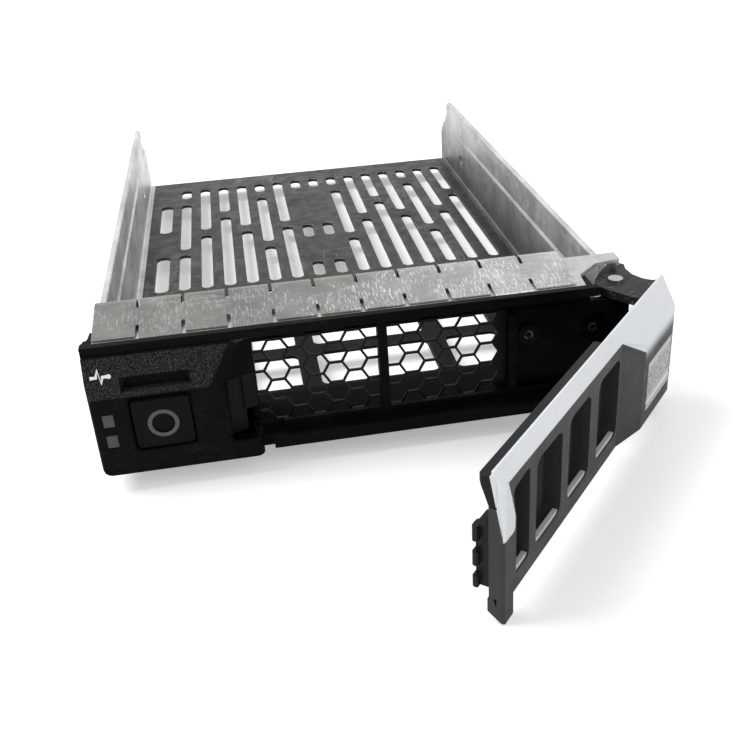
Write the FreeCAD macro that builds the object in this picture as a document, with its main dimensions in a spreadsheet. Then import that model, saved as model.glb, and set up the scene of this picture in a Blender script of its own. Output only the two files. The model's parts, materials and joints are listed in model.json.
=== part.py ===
"""Hot swap drive caddy: a folded tray with a moulded front, a push button and a swing-out lever.

Millimetres. X runs across the front, Y from the front to the rear and Z up. The origin is the
middle of the front face at the level of the base plate's underside.
"""
import FreeCAD, Part
import math
import os
import PartDesign
import Sketcher

doc = FreeCAD.newDocument("drive_caddy")
sheet = doc.addObject("Spreadsheet::Sheet", "Sizes")
Vector = FreeCAD.Vector


class Size:
    """A length that carries both its number and the sheet expression that drives it."""

    def __init__(self, value, text):
        self.value = value
        self.text = text

    def __add__(self, other):
        other = as_size(other)
        return Size(self.value + other.value, "(%s + %s)" % (self.text, other.text))

    def __radd__(self, other):
        return as_size(other) + self

    def __sub__(self, other):
        other = as_size(other)
        return Size(self.value - other.value, "(%s - %s)" % (self.text, other.text))

    def __rsub__(self, other):
        return as_size(other) - self

    def __mul__(self, factor):
        factor = as_size(factor)
        return Size(self.value * factor.value, "(%s * %s)" % (self.text, factor.text))

    def __rmul__(self, factor):
        return as_size(factor) * self

    def __truediv__(self, divisor):
        divisor = as_size(divisor)
        return Size(self.value / divisor.value, "(%s / %s)" % (self.text, divisor.text))

    def __neg__(self):
        return as_size(-1) * self


def as_size(number):
    if isinstance(number, Size):
        return number
    return Size(float(number), "%.6f" % number)


class Sheet:
    """The driving sizes, each written once into a cell of the sheet and read by its name."""

    def __init__(self):
        self.row = 0

    def add(self, name, value, note):
        self.row += 1
        sheet.set("A%d" % self.row, name)
        sheet.set("B%d" % self.row, str(value))
        sheet.set("C%d" % self.row, note)
        sheet.setAlias("B%d" % self.row, name)
        setattr(self, name, Size(float(value), "Sizes.%s" % name))


S = Sheet()
for name, value, note in [
    # whole caddy
    ("front_width", 106.0, "width of the moulded front"),
    ("front_height", 25.5, "height of the front's top band"),
    ("tray_width", 104.5, "outside of the side rails"),
    ("tray_length", 174.5, "front face to the base plate's rear edge"),
    ("rail_height", 22.3, "top of the side rails"),
    ("steel", 0.9, "tray sheet thickness"),
    ("drive_width", 101.6, "drive that the rails hold"),
    ("drive_gap", 0.15, "gap between the drive and each rail"),
    # tray
    ("tray_front", 8.4, "front edge of the tray, behind the moulding"),
    ("joggle_level", 13.6, "height where each rail steps outwards"),
    ("joggle_rise", 0.8, "height of that step"),
    ("hem_width", 1.4, "width of the folded hem on a rail"),
    ("hem_height", 3.0, "height of that hem"),
    ("rail_tail", 3.0, "how far a rail reaches past the base plate"),
    ("tail_slope", 11.5, "length of the sloped rear end of a rail"),
    ("tail_drop", 12.5, "height of that slope"),
    ("hinge_relief", 21.5, "front of the right rail, clear of the lever's hook"),
    ("slot_pitch", 5.98, "spacing of the vent slot columns"),
    ("slot_width", 3.1, "width of a vent slot"),
    ("edge_slot_width", 3.7, "width of the first slot column"),
    ("window_corner", 1.5, "corner radius of the front windows"),
    ("screw_level", 6.35, "drive side screws above the drive's underside"),
    ("screw_spacing", 101.6, "distance between the drive's side screws"),
    ("screw_front", 45.9, "front side screw from the front face"),
    ("screw_radius", 1.85, "radius of a side screw hole"),
    # bracket and contact fingers
    ("flange_top", 25.2, "top of the bracket's flange"),
    ("flange_sheet", 0.8, "bracket sheet thickness"),
    ("tab_sheet", 0.7, "thickness left for the bracket's side tab"),
    ("flange_front", 4.7, "front edge of the flange"),
    ("flange_back", 19.3, "rear edge of the flange"),
    ("finger_sheet", 0.25, "thickness of the contact strip"),
    ("finger_pitch", 8.31, "width of one contact finger and its slit"),
    ("finger_slit", 0.7, "width of a slit"),
    ("finger_first", -42.9, "first slit"),
    ("finger_start", -51.0, "left end of the strip"),
    ("finger_end", 40.2, "right end of the strip"),
    ("finger_front", 5.5, "front edge of the strip"),
    ("crest_top", 27.5, "top of the strip's crest"),
    # moulded front
    ("block_right", -22.8, "right wall of the left block"),
    ("slant_start", -29.7, "where the block's face starts to lean back"),
    ("slope_level", 17.3, "foot of the textured slope"),
    ("band_level", 23.65, "underside of the top band"),
    ("band_front", 2.95, "front of the top band"),
    ("band_depth", 1.55, "depth of the top band"),
    ("rear_depth", 18.4, "rear of the left block"),
    ("lip_front", 1.9, "front of the bottom lip"),
    ("lip_height", 2.4, "height of the bottom lip"),
    ("beam_back", 4.9, "front of the mullion and the upper beam"),
    ("screen_level", 1.5, "foot of the perforated screen"),
    ("screen_top", 21.0, "top of the perforated screen"),
    ("screen_front", 7.2, "front of the perforated screen"),
    ("screen_sheet", 0.5, "screen thickness"),
    ("hex_pitch", 3.757, "column spacing of the hexagon holes"),
    ("hex_gap", 0.42, "web between two hexagon holes"),
    ("rib_left", 26.7, "left face of the rib beside the screen"),
    ("wall", 1.5, "wall of the moulding"),
    # button and latch
    ("button_x", -40.5, "middle of the button"),
    ("button_width", 10.55, "width of the button"),
    ("button_low", 5.0, "underside of the button"),
    ("button_high", 15.5, "top of the button"),
    ("button_gap", 0.3, "gap round the button"),
    ("button_face", 0.35, "how far the button's face is set back"),
    ("button_travel", 2.0, "travel of the button"),
    ("latch_ratio", 0.7, "latch travel for each millimetre of button travel"),
    # lever
    ("pin_x", 50.15, "hinge axis across the front"),
    ("pin_y", 10.4, "hinge axis behind the front face"),
    ("pin_radius", 1.25, "hinge pin radius"),
    ("pin_clearance", 0.05, "running clearance of the hinge pin"),
    ("open_angle", 49.0, "how far the lever stands open"),
    ("lever_reach", 72.7, "hinge axis to the lever's free end"),
    ("lever_front", 10.07, "hinge axis to the lever's front face when shut"),
    ("cover_sheet", 1.2, "thickness of the lever's front cover"),
    ("lever_back", 5.9, "hinge axis to the thick part's rear face"),
    ("lever_thin_back", 7.3, "hinge axis to the thin part's rear face"),
    ("lever_low", 0.3, "underside of the lever"),
    ("lever_step", 2.8, "top of the rebate that clears the bottom lip"),
    ("lever_high", 23.3, "top of the lever's black core"),
    ("ear_thick", 1.7, "thickness of each hinge ear"),
    ("ear_high", 22.9, "top of the upper ear"),
    ("ear_low", 0.7, "underside of the lower ear"),
    ("pad_front", 12.17, "hinge axis to the pad's face when shut"),
    ("lug_radius", 2.7, "radius of the hinge lug on the front"),
    # light pipes
    ("pipe_low", 5.95, "underside of the lower light pipe"),
    ("pipe_high", 10.35, "underside of the upper light pipe"),
    ("pipe_height", 2.6, "height of a light pipe"),
    ("clip_first", 62.0, "front face to the first light pipe clip"),
    ("clip_width", 7.0, "width of a clip"),
    ("clip_margin", 3.5, "last clip to the rear ends of the light pipes"),
]:
    S.add(name, value, note)
doc.recompute()

half_front = S.front_width / 2
half_tray = S.tray_width / 2
rail_inner_low = S.drive_width / 2 + S.drive_gap
rail_outer_low = rail_inner_low + S.steel
rail_inner_high = half_tray - S.steel
flange_low = S.flange_top - S.flange_sheet
pipe_end = S.tray_length - 4


# ---------------------------------------------------------------- helpers

# The sign of each origin plane's normal along the row axis it stands on.
PLANE_SIGN = {"XY": 1, "XZ": -1, "YZ": 1}


def bind(thing, prop, size):
    """Drive a property by the sheet."""
    thing.setExpression(prop, as_size(size).text)


def new_body(name):
    return doc.addObject("PartDesign::Body", name)


def origin_item(body, role):
    return [item for item in body.Origin.OriginFeatures if item.Role == role][0]


def new_sketch(body, plane, level):
    """A sketch on one of the body's origin planes, moved to a level along that plane's axis."""
    sketch = body.newObject("Sketcher::SketchObject", body.Name + "_outline")
    sketch.AttachmentSupport = [(origin_item(body, plane + "_Plane"), "")]
    sketch.MapMode = "FlatFace"
    bind(sketch, "AttachmentOffset.Base.z", PLANE_SIGN[plane] * as_size(level))
    return sketch


def place_point(sketch, curve, end, across, up):
    """Dimension a point from the sketch's origin."""
    for kind, size in (("DistanceX", as_size(across)), ("DistanceY", as_size(up))):
        row = sketch.addConstraint(Sketcher.Constraint(kind, -1, 1, curve, end, size.value))
        sketch.setExpression("Constraints[%d]" % row, size.text)


def set_radius(sketch, curve, size):
    size = as_size(size)
    row = sketch.addConstraint(Sketcher.Constraint("Radius", curve, size.value))
    sketch.setExpression("Constraints[%d]" % row, size.text)


def draw_outline(sketch, corners):
    """A closed outline through corners (across, up) or rounded corners (across, up, radius)."""
    spots = [Vector(as_size(corner[0]).value, as_size(corner[1]).value, 0) for corner in corners]
    count = len(corners)
    starts, ends, arcs = list(spots), list(spots), {}
    for i, corner in enumerate(corners):
        if len(corner) == 2:
            continue
        radius = as_size(corner[2]).value
        before = (spots[i - 1] - spots[i]).normalize()
        after = (spots[(i + 1) % count] - spots[i]).normalize()
        half = before.getAngle(after) / 2
        middle = (before + after).normalize()
        centre = spots[i] + middle * (radius / math.sin(half))
        ends[i] = spots[i] + before * (radius / math.tan(half))
        starts[i] = spots[i] + after * (radius / math.tan(half))
        arcs[i] = Part.Arc(ends[i], centre - middle * radius, starts[i])
    lines = [sketch.addGeometry(Part.LineSegment(starts[i], ends[(i + 1) % count]), False)
             for i in range(count)]
    for i, corner in enumerate(corners):
        before, after = lines[i - 1], lines[i]
        if i not in arcs:
            sketch.addConstraint(Sketcher.Constraint("Coincident", before, 2, after, 1))
            place_point(sketch, after, 1, corner[0], corner[1])
            continue
        arc = sketch.addGeometry(arcs[i], False)
        turn = (spots[i] - spots[i - 1]).cross(spots[(i + 1) % count] - spots[i]).z
        near, far = (1, 2) if turn > 0 else (2, 1)
        mark = sketch.addGeometry(Part.Point(spots[i]), True)
        place_point(sketch, mark, 1, corner[0], corner[1])
        sketch.addConstraint(Sketcher.Constraint("PointOnObject", mark, 1, before))
        sketch.addConstraint(Sketcher.Constraint("PointOnObject", mark, 1, after))
        sketch.addConstraint(Sketcher.Constraint("Tangent", before, 2, arc, near))
        sketch.addConstraint(Sketcher.Constraint("Tangent", arc, far, after, 1))
        set_radius(sketch, arc, corner[2])


def draw_circle(sketch, across, up, radius):
    centre = Vector(as_size(across).value, as_size(up).value, 0)
    circle = sketch.addGeometry(
        Part.Circle(centre, Vector(0, 0, 1), as_size(radius).value), False)
    place_point(sketch, circle, 3, across, up)
    set_radius(sketch, circle, radius)


def draw_slot(sketch, across, low, high, width):
    """A round-ended slot that runs up the sketch from low to high."""
    radius = as_size(width) / 2
    x, r = as_size(across).value, radius.value
    bottom, top = as_size(low) + radius, as_size(high) - radius
    lower = sketch.addGeometry(Part.ArcOfCircle(Part.Circle(
        Vector(x, bottom.value, 0), Vector(0, 0, 1), r), math.pi, 2 * math.pi), False)
    upper = sketch.addGeometry(Part.ArcOfCircle(Part.Circle(
        Vector(x, top.value, 0), Vector(0, 0, 1), r), 0, math.pi), False)
    right = sketch.addGeometry(
        Part.LineSegment(Vector(x + r, bottom.value, 0), Vector(x + r, top.value, 0)), False)
    left = sketch.addGeometry(
        Part.LineSegment(Vector(x - r, top.value, 0), Vector(x - r, bottom.value, 0)), False)
    for first, first_end, second, second_end in ((lower, 2, right, 1), (right, 2, upper, 1),
                                                 (upper, 2, left, 1), (left, 2, lower, 1)):
        sketch.addConstraint(
            Sketcher.Constraint("Tangent", first, first_end, second, second_end))
    place_point(sketch, lower, 3, across, bottom)
    place_point(sketch, upper, 3, across, top)
    set_radius(sketch, lower, radius)
    sketch.addConstraint(Sketcher.Constraint("Equal", lower, upper))


def extrude(body, kind, plane, start, end, draw):
    """Pad or pocket what draw puts in a sketch, from start to end along the plane's axis."""
    sketch = new_sketch(body, plane, start)
    draw(sketch)
    feature = body.newObject("PartDesign::" + kind, body.Name + "_" + kind.lower())
    feature.Profile = sketch
    bind(feature, "Length", as_size(end) - start)
    feature.Reversed = (PLANE_SIGN[plane] < 0) == (kind == "Pad")
    if kind == "Pocket":
        before = body.Tip
    doc.recompute()
    return feature


def pad(body, plane, start, end, corners):
    return extrude(body, "Pad", plane, start, end, lambda sketch: draw_outline(sketch, corners))


def cut(body, plane, start, end, corners):
    return extrude(body, "Pocket", plane, start, end,
                   lambda sketch: draw_outline(sketch, corners))


def rod(body, plane, start, end, across, up, radius):
    return extrude(body, "Pad", plane, start, end,
                   lambda sketch: draw_circle(sketch, across, up, radius))


def bore(body, plane, start, end, across, up, radius):
    return extrude(body, "Pocket", plane, start, end,
                   lambda sketch: draw_circle(sketch, across, up, radius))


def repeat(body, feature, role, spacing, count, second=None):
    """Repeat a feature along an origin axis, and along a second one for a grid."""
    pattern = body.newObject("PartDesign::LinearPattern", body.Name + "_row")
    pattern.Originals = [feature]
    pattern.Direction = (origin_item(body, role), [""])
    pattern.Occurrences = count
    bind(pattern, "Length", as_size(spacing) * (count - 1))
    if second:
        role, spacing, count = second
        pattern.Direction2 = (origin_item(body, role), [""])
        pattern.Occurrences2 = count
        bind(pattern, "Length2", as_size(spacing) * (count - 1))
    body.Tip = pattern
    doc.recompute()
    return pattern


def box(left, right, low, high):
    """The corners of a rectangle."""
    return [(left, low), (right, low), (right, high), (left, high)]


def round_box(left, right, low, high, radius):
    return [(x, y, radius) for x, y in box(left, right, low, high)]


# ---------------------------------------------------------------- tray

def mirror_corners(corners):
    return [(-as_size(corner[0]),) + tuple(corner[1:]) for corner in reversed(corners)]


def slot_column(column):
    return S.slot_pitch * (column - 7.5)


SLOT_GROUPS = [
    # first column, columns between copies, copies, slots as pairs of stations
    (1, 4, 4, ("a-c", "d-i", "j-k")),
    (2, 4, 4, ("a-e", "f-k")),
    (4, 8, 2, ("a-e", "f-k")),
    (3, 8, 2, ("a-g", "h-k")),
    (15, 1, 1, ("a-g", "h-k")),
    (7, 1, 2, ("a-b", "d-e", "j-k")),
    (0, 1, 1, ("a-c", "f-i")),
]

for letter, value in zip("abcdefghijk", (82.0, 91.9, 106.9, 111.2, 121.3, 126.4, 135.6,
                                         140.9, 150.8, 156.9, 165.2)):
    S.add("station_" + letter, value, "end line of vent slots")
for name, value, note in [
    ("window_one", 23.0, "front edge of the first row of windows"),
    ("window_two", 38.1, "rear edge of that row"),
    ("window_three", 42.1, "front edge of the second row"),
    ("window_four", 76.0, "rear edge of the second row"),
    ("window_outer", 29.0, "outer edge of the windows from the middle"),
    ("window_inner", 18.6, "middle of the bar between two windows"),
    ("window_bar", 4.2, "width of that bar"),
    ("window_shift", 3.7, "how far the windows sit right of the middle"),
    ("relief_left", 41.0, "left edge of the hinge relief"),
    ("turnup_left", 25.5, "left edge of the tray's front turn-up"),
    ("turnup_right", 47.0, "right edge of the turn-up"),
    ("turnup_top", 18.4, "top of the turn-up"),
    ("wall_screw_x", 31.0, "left screw of the right wall"),
    ("wall_screw_apart", 13.2, "distance between the two screws"),
    ("wall_screw_z", 15.5, "height of the two screws"),
    ("wall_screw_r", 1.25, "radius of a screw's shank"),
    ("rivet_front", 11.5, "front rivet of the side tab"),
    ("rivet_apart", 5.0, "distance between the two rivets"),
    ("rivet_level", 16.4, "height of the rivets"),
    ("rivet_radius", 1.0, "radius of a rivet"),
]:
    S.add(name, value, note)
doc.recompute()
base_over = S.steel + 0.5


def make_tray():
    """One folded sheet: base plate, two joggled rails with hemmed tops and a front turn-up."""
    body = new_body("tray")
    joggle_top = S.joggle_level + S.joggle_rise
    hem_low = S.rail_height - S.hem_height
    hem_side = half_tray - S.hem_width
    right = [(rail_outer_low, 0, 1.3), (rail_outer_low, S.joggle_level), (half_tray, joggle_top),
             (half_tray, S.rail_height, S.hem_width * 0.4),
             (hem_side, S.rail_height, S.hem_width * 0.4),
             (hem_side, hem_low), (rail_inner_high, hem_low), (rail_inner_high, joggle_top),
             (rail_inner_low, S.joggle_level), (rail_inner_low, S.steel, 0.4)]
    rail_end = S.tray_length + S.rail_tail
    pad(body, "XZ", S.tray_front, rail_end, right + mirror_corners(right))
    slope_foot = S.rail_height - S.tail_drop
    cut(body, "YZ", -half_front, half_front,
        [(rail_end - S.tail_slope, S.rail_height), (rail_end - S.tail_slope, S.rail_height + 1),
         (rail_end + 1, S.rail_height + 1), (rail_end + 1, slope_foot), (rail_end, slope_foot)])
    cut(body, "XY", -0.5, base_over,
        box(-rail_inner_low, rail_inner_low, S.tray_length, rail_end + 1))
    cut(body, "XY", -0.5, S.rail_height + 1,
        box(S.relief_left, half_front, S.tray_front - 1, S.hinge_relief))
    cut(body, "XY", hem_low - 0.1, S.rail_height + 1,
        box(-rail_inner_high, 0, S.tray_front - 1, S.flange_back + 0.5))
    pad(body, "XZ", S.tray_front, S.tray_front + S.steel,
        [(S.turnup_left, 0), (S.relief_left - 0.4, 0), (S.relief_left - 0.4, 5.0),
         (S.turnup_right, 5.0), (S.turnup_right, S.turnup_top, 1),
         (S.turnup_left, S.turnup_top, 1)])
    extrude(body, "Pocket", "XZ", S.tray_front - 1, S.tray_front + S.steel + 1, draw_wall_screws)
    extrude(body, "Pocket", "XY", -0.5, base_over, draw_windows)
    for first, apart, copies, spans in SLOT_GROUPS:
        slots = extrude(body, "Pocket", "XY", -0.5, base_over,
                        lambda sketch: draw_slots(sketch, first, spans))
        if copies > 1:
            repeat(body, slots, "X_Axis", S.slot_pitch * apart, copies)
    holes = bore(body, "YZ", -half_front, half_front, S.screw_front,
                 S.steel + S.screw_level, S.screw_radius)
    repeat(body, holes, "Y_Axis", S.screw_spacing, 2)
    cut(body, "YZ", -half_front, 1 - rail_inner_low, box(17.5, 29.5, S.pipe_high - 0.25,
                                                          S.pipe_high + S.pipe_height + 0.25))
    cut(body, "YZ", -half_front, 1 - rail_inner_low, box(17.5, 29.5, pipe_run_low - 0.25,
                                                          pipe_run_low + pipe_run_height + 0.25))
    extrude(body, "Pocket", "YZ", -half_front, 1 - rail_inner_low, draw_rivets)
    return body


def draw_windows(sketch):
    bar = S.window_bar / 2
    edges = [(-S.window_outer, -S.window_inner / 2 * 1.6 - bar), (-S.window_inner / 2 * 1.6 + bar,
             S.window_inner / 2 * 1.6 - bar), (S.window_inner / 2 * 1.6 + bar, S.window_outer)]
    for left, right in edges:
        for low, high in ((S.window_one, S.window_two), (S.window_three, S.window_four)):
            draw_outline(sketch, round_box(left + S.window_shift, right + S.window_shift,
                                           low, high, S.window_corner))


def draw_slots(sketch, column, spans):
    width = S.edge_slot_width if column == 0 else S.slot_width
    for span in spans:
        low, high = (getattr(S, "station_" + letter) for letter in span.split("-"))
        draw_slot(sketch, slot_column(column), low, high, width)


def draw_wall_screws(sketch, radius=None):
    for number in range(2):
        draw_circle(sketch, S.wall_screw_x + S.wall_screw_apart * number, S.wall_screw_z,
                    radius or S.wall_screw_r)


def draw_rivets(sketch, radius=None):
    for number in range(2):
        draw_circle(sketch, S.rivet_front + S.rivet_apart * number, S.rivet_level,
                    radius or S.rivet_radius)


# ---------------------------------------------------------------- bracket and contact fingers

def make_bracket():
    """A folded sheet over the front, with a side tab riveted to the left rail."""
    body = new_body("front_bracket")
    pad(body, "XY", flange_low, S.flange_top,
        [(-rail_inner_high, S.flange_back), (-rail_inner_high + 0.3, S.cheek_back),
         (-rail_inner_high + 0.3, S.flange_front), (42.0, S.flange_front), (42.6, 10.2),
         (47.5, 14.9), (half_front, 15.9), (half_front, S.flange_back)])
    pad(body, "XY", S.joggle_level + S.joggle_rise + 0.3, flange_low + 0.1,
        box(-rail_inner_high, S.tab_sheet - rail_inner_high, S.cheek_back, S.flange_back))
    pad(body, "XY", S.band_level, flange_low, box(half_tray, half_front, 15.9, S.flange_back))
    extrude(body, "Pocket", "YZ", -half_tray, 2 - half_tray, draw_rivets)
    return body


def make_rivets():
    """Two rivets, flush outside, with their formed heads inside the tab."""
    body = new_body("bracket_rivets")
    head = S.tab_sheet - rail_inner_high
    extrude(body, "Pad", "YZ", -half_tray, head, draw_rivets)
    extrude(body, "Pad", "YZ", head, head + 0.5,
            lambda sketch: draw_rivets(sketch, S.rivet_radius + 0.7))
    return body


def make_fingers():
    """A strip of spring contact fingers: it rises to a crest and rolls under to a foot."""
    body = new_body("emi_fingers")
    t = S.finger_sheet
    low = S.flange_top
    back = S.flange_back - 0.1
    crest = back - 2.2
    pad(body, "YZ", S.finger_start, S.finger_end,
        [(S.finger_front, low + 0.15), (S.finger_front, low + 0.15 + t),
         (crest, S.crest_top, 1.5), (back, S.crest_top - 0.3, 1.0), (back, low),
         (back - 3, low), (back - 3, low + t), (back - t, low + t),
         (back - t, S.crest_top - 0.3 - t, 0.75), (crest, S.crest_top - t, 1.25)])
    half_slit = S.finger_slit / 2
    for front, rear in ((S.finger_front - 1, S.finger_front + 3.6), (crest - 2.4, back + 1)):
        slit = cut(body, "XY", low - 0.5, S.crest_top + 1,
                   box(S.finger_first - half_slit, S.finger_first + half_slit, front, rear))
        repeat(body, slit, "X_Axis", S.finger_pitch, 10)
    for finger in (2, 4, 10):
        left = S.finger_first + S.finger_pitch * (finger - 2) + half_slit
        pad(body, "YZ", left, left + S.finger_pitch - S.finger_slit,
            [(S.finger_front + 0.1, low + 0.15), (S.finger_front + 0.1, low + 0.15 + t),
             (S.finger_front - 0.7, low + 0.15 + t), (S.finger_front - 0.88, low + 0.1),
             (S.finger_front - 0.65, low + 0.1), (S.finger_front - 0.55, low + 0.15)])
    return body


# ---------------------------------------------------------------- moulded front

for name, value, note in [
    ("bar_end", 44.0, "right end of the top bar"),
    ("beam_end", 40.5, "right end of the bottom beam"),
    ("mullion_left", 0.9, "left face of the mullion"),
    ("mullion_width", 1.8, "width of the mullion"),
    ("rib_width", 1.6, "width of the rib beside the screen"),
    ("wall_front", 6.9, "front of the right wall"),
    ("lug_low", 2.7, "underside of the lower hinge lug"),
    ("lug_high", 20.8, "top of the upper hinge lug"),
    ("coil_low", 5.2, "top of the lower lug, under the torsion spring"),
    ("coil_high", 11.2, "underside of the upper lug, over the spring"),
    ("hook_low", 2.9, "underside of the lever's hook block"),
    ("hook_front", 4.25, "front face to the front of the shut lever's hooks"),
    ("hook_rear", 5.35, "front face to the rear of the shut lever's hooks"),
    ("ledge_level", 5.0, "top of the ledge under the slanted face"),
    ("bottom_round", 1.8, "rounding of the block's lower outer corner"),
    ("cheek_back", 9.5, "front face to the rear end of the cheek beside the fingers"),
    ("hollow_left", -47.4, "left side of the block's inside"),
    ("hollow_right", -24.2, "right side of the block's inside"),
    ("hollow_low", 1.9, "floor of the block's inside"),
    ("hollow_high", 22.4, "roof of the block's inside"),
    ("hollow_step", 16.6, "height where the block's front wall thickens"),
    ("front_wall", 1.9, "thickness of the block's front wall"),
    ("slot_left", -28.2, "left edge of the latch opening"),
    ("slot_low", 4.1, "bottom of the latch opening"),
    ("slot_high", 16.7, "top of the latch opening"),
    ("pipe_left", -50.9, "left face of the light pipes behind the lens"),
    ("pipe_width", 1.7, "width of the light pipes there"),
    ("cover_sheet_rear", 1.5, "thickness of the block's rear cover"),
]:
    S.add(name, value, note)
doc.recompute()
pipe_run_low = as_size(2.2)
pipe_run_height = as_size(2.4)
housing_left = S.hollow_left - S.wall
header_top = flange_low
header_low = S.screen_top - 0.6
header_front = S.screen_front + S.screen_sheet


def make_bezel():
    """The black moulding: latch block, top bar, beam, mullion, rib, wall and hinge lug."""
    body = new_body("bezel")
    band_back = S.band_front + S.band_depth
    pad(body, "XY", 0, S.front_height,
        [(-half_front, 0, 0.8), (S.block_right, 0, 1.6), (S.block_right, S.tray_front),
         (-half_front, S.tray_front)])
    cut(body, "XY", S.ledge_level, S.band_level,
        [(S.slant_start, -1), (S.slant_start, 0), (S.slant_start + 3.0, 1.4),
         (S.block_right - 1.5, 2.9), (S.block_right, 3.7), (S.block_right + 1, 3.7),
         (S.block_right + 1, -1)])
    pad(body, "XY", S.steel, flange_low,
        box(housing_left, S.block_right, S.tray_front - 0.5, S.rear_depth))
    pad(body, "YZ", S.block_right - 1, S.bar_end,
        [(S.band_front, S.band_level), (header_front, S.band_level), (header_front, header_low),
         (header_front + 1, header_low), (header_front + 1, header_top), (band_back, header_top),
         (band_back, S.front_height), (S.band_front, S.front_height)])
    pad(body, "YZ", S.block_right - 1, S.beam_end,
        [(S.lip_front, 0), (S.tray_front, 0), (S.tray_front, S.screen_level),
         (S.screen_front, S.screen_level), (S.beam_back + 0.7, 4.3), (S.beam_back, 4.3),
         (S.beam_back, S.lip_height), (S.lip_front, S.lip_height)])
    cut(body, "XY", -1, S.lip_height + 0.5,
        box(S.block_right, S.block_right + 2.0, S.lip_front - 1, S.beam_back - 1.5))
    pad(body, "XY", 1, S.band_level + 0.3,
        box(S.mullion_left, S.mullion_left + S.mullion_width, S.beam_back, S.screen_front))
    pad(body, "XY", 1, S.screen_top - 0.4,
        box(S.rib_left, S.rib_left + S.rib_width, S.beam_back, S.tray_front))
    pad(body, "XZ", S.wall_front, S.tray_front,
        [(S.rib_left, 1), (S.bar_end, 1), (S.bar_end, S.lug_low), (S.pin_x, S.lug_low),
         (S.pin_x, S.coil_low), (S.turnup_right + 0.8, S.coil_low),
         (S.turnup_right + 0.8, S.coil_high), (S.pin_x, S.coil_high), (S.pin_x, S.lug_high),
         (S.bar_end, S.lug_high), (S.bar_end, S.screen_top - 0.4),
         (S.rib_left, S.screen_top - 0.4)])
    for low, high in ((S.lug_low, S.coil_low), (S.coil_high, S.lug_high)):
        pad(body, "XY", low, high,
            box(S.turnup_right + 0.3, S.pin_x + 1.8, S.wall_front, S.pin_y))
        rod(body, "XY", low, high, S.pin_x, S.pin_y, S.lug_radius)
    pad(body, "XY", S.turnup_top + 0.6, flange_low,
        box(S.relief_left, S.bar_end, header_front, S.rear_depth))
    bore(body, "XY", S.lug_low - 1, S.lug_high + 1, S.pin_x, S.pin_y,
         S.pin_radius + S.pin_clearance)
    extrude(body, "Pocket", "XZ", S.wall_front - 1, S.tray_front + 1, draw_wall_screws)
    # sloped face, step behind the top band, cheek and rounded corner
    cut(body, "YZ", -half_front - 1, S.block_right,
        [(-1, S.slope_level), (0, S.slope_level), (2.4, S.band_level),
         (S.band_front, S.band_level), (S.band_front, S.front_height + 1),
         (-1, S.front_height + 1)])
    cut(body, "YZ", -half_front - 1, S.block_right,
        box(band_back, S.tray_front + 1, flange_low, S.front_height + 1))
    pad(body, "XY", flange_low - 0.1, S.front_height - 0.1,
        [(-half_front, band_back - 0.1), (-rail_inner_high + 0.2, band_back - 0.1),
         (-rail_inner_high + 0.2, S.cheek_back), (-rail_inner_high - 0.3, S.cheek_back),
         (-rail_inner_high - 0.5, 6.6, 2), (-half_front, band_back + 0.5)])
    corner = [(S.bottom_round * (1 - math.cos(turn)) - half_front,
               S.bottom_round * (1 - math.sin(turn)))
              for turn in (math.radians(22.5 * step) for step in range(5))]
    cut(body, "XZ", -1, S.tray_front + 1,
        corner + [(S.bottom_round - half_front, -1), (-half_front - 1, -1),
                  (-half_front - 1, S.bottom_round)])
    # inside of the block
    cut(body, "XZ", S.front_wall, S.rear_depth + 1,
        box(S.hollow_left, S.hollow_right, S.hollow_low, S.hollow_step))
    cut(body, "XZ", S.front_wall + 2.3, S.rear_depth + 1,
        box(S.hollow_left, S.hollow_right, S.hollow_step - 0.1, S.hollow_high))
    # openings of the block's face
    hole = S.button_width / 2 + S.button_gap
    cut(body, "XZ", -1, S.front_wall + 0.5,
        round_box(S.button_x - hole, S.button_x + hole, S.button_low - 0.2,
                  S.button_high + 0.5, 1.2))
    cut(body, "XZ", -1, 1.7,
        [(S.button_x - 6.3, S.slope_level), (S.button_x + 6.1, S.slope_level),
         (S.button_x + 5.3, S.slope_level + 2.6), (S.button_x - 5.3, S.slope_level + 2.6)])
    for low in (S.pipe_low, S.pipe_high):
        cut(body, "XZ", -1, S.tray_front + 0.5,
            box(S.pipe_left - 0.3, S.pipe_left + S.pipe_width + 0.2, low - 0.1,
                low + S.pipe_height + 0.1))
    cut(body, "XY", S.slot_low, S.slot_high,
        box(S.slot_left, S.block_right + 0.8, -1, S.screen_front))
    # pocket for the lever's lowest hook and the foot of its hook block
    cut(body, "XY", S.hook_low - 0.3, S.slot_low + 0.1,
        box(S.block_right - 1.3, S.block_right + 0.8, S.hook_front - 0.2, S.hook_rear + 0.4))
    cut(body, "XY", S.hook_low - 0.3, S.slot_low + 0.5,
        box(S.block_right - 0.1, S.block_right + 4.4, S.beam_back - 0.5, S.hook_rear + 0.4))
    return body


def make_screen():
    """Perforated sheet with staggered hexagon holes."""
    body = new_body("front_screen")
    left = S.block_right + 0.05
    right = S.rib_left - 0.05
    pad(body, "XZ", S.screen_front, S.screen_front + S.screen_sheet,
        box(left, right, S.screen_level, S.screen_top))
    row_pitch = S.hex_pitch * 2 / math.sqrt(3)
    first_x = S.block_right + 0.44
    first_z = as_size(5.45)
    for shift, rows in ((0, 4), (1, 5)):
        low = first_z - row_pitch / 2 * shift
        hexes = cut(body, "XZ", S.screen_front - 1, S.screen_front + S.screen_sheet + 1,
                    hexagon(first_x + S.hex_pitch * (1 - shift), low, row_pitch - S.hex_gap))
        repeat(body, hexes, "X_Axis", S.hex_pitch * 2, 6 + shift,
               second=("Z_Axis", row_pitch, rows))
    return body


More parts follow.
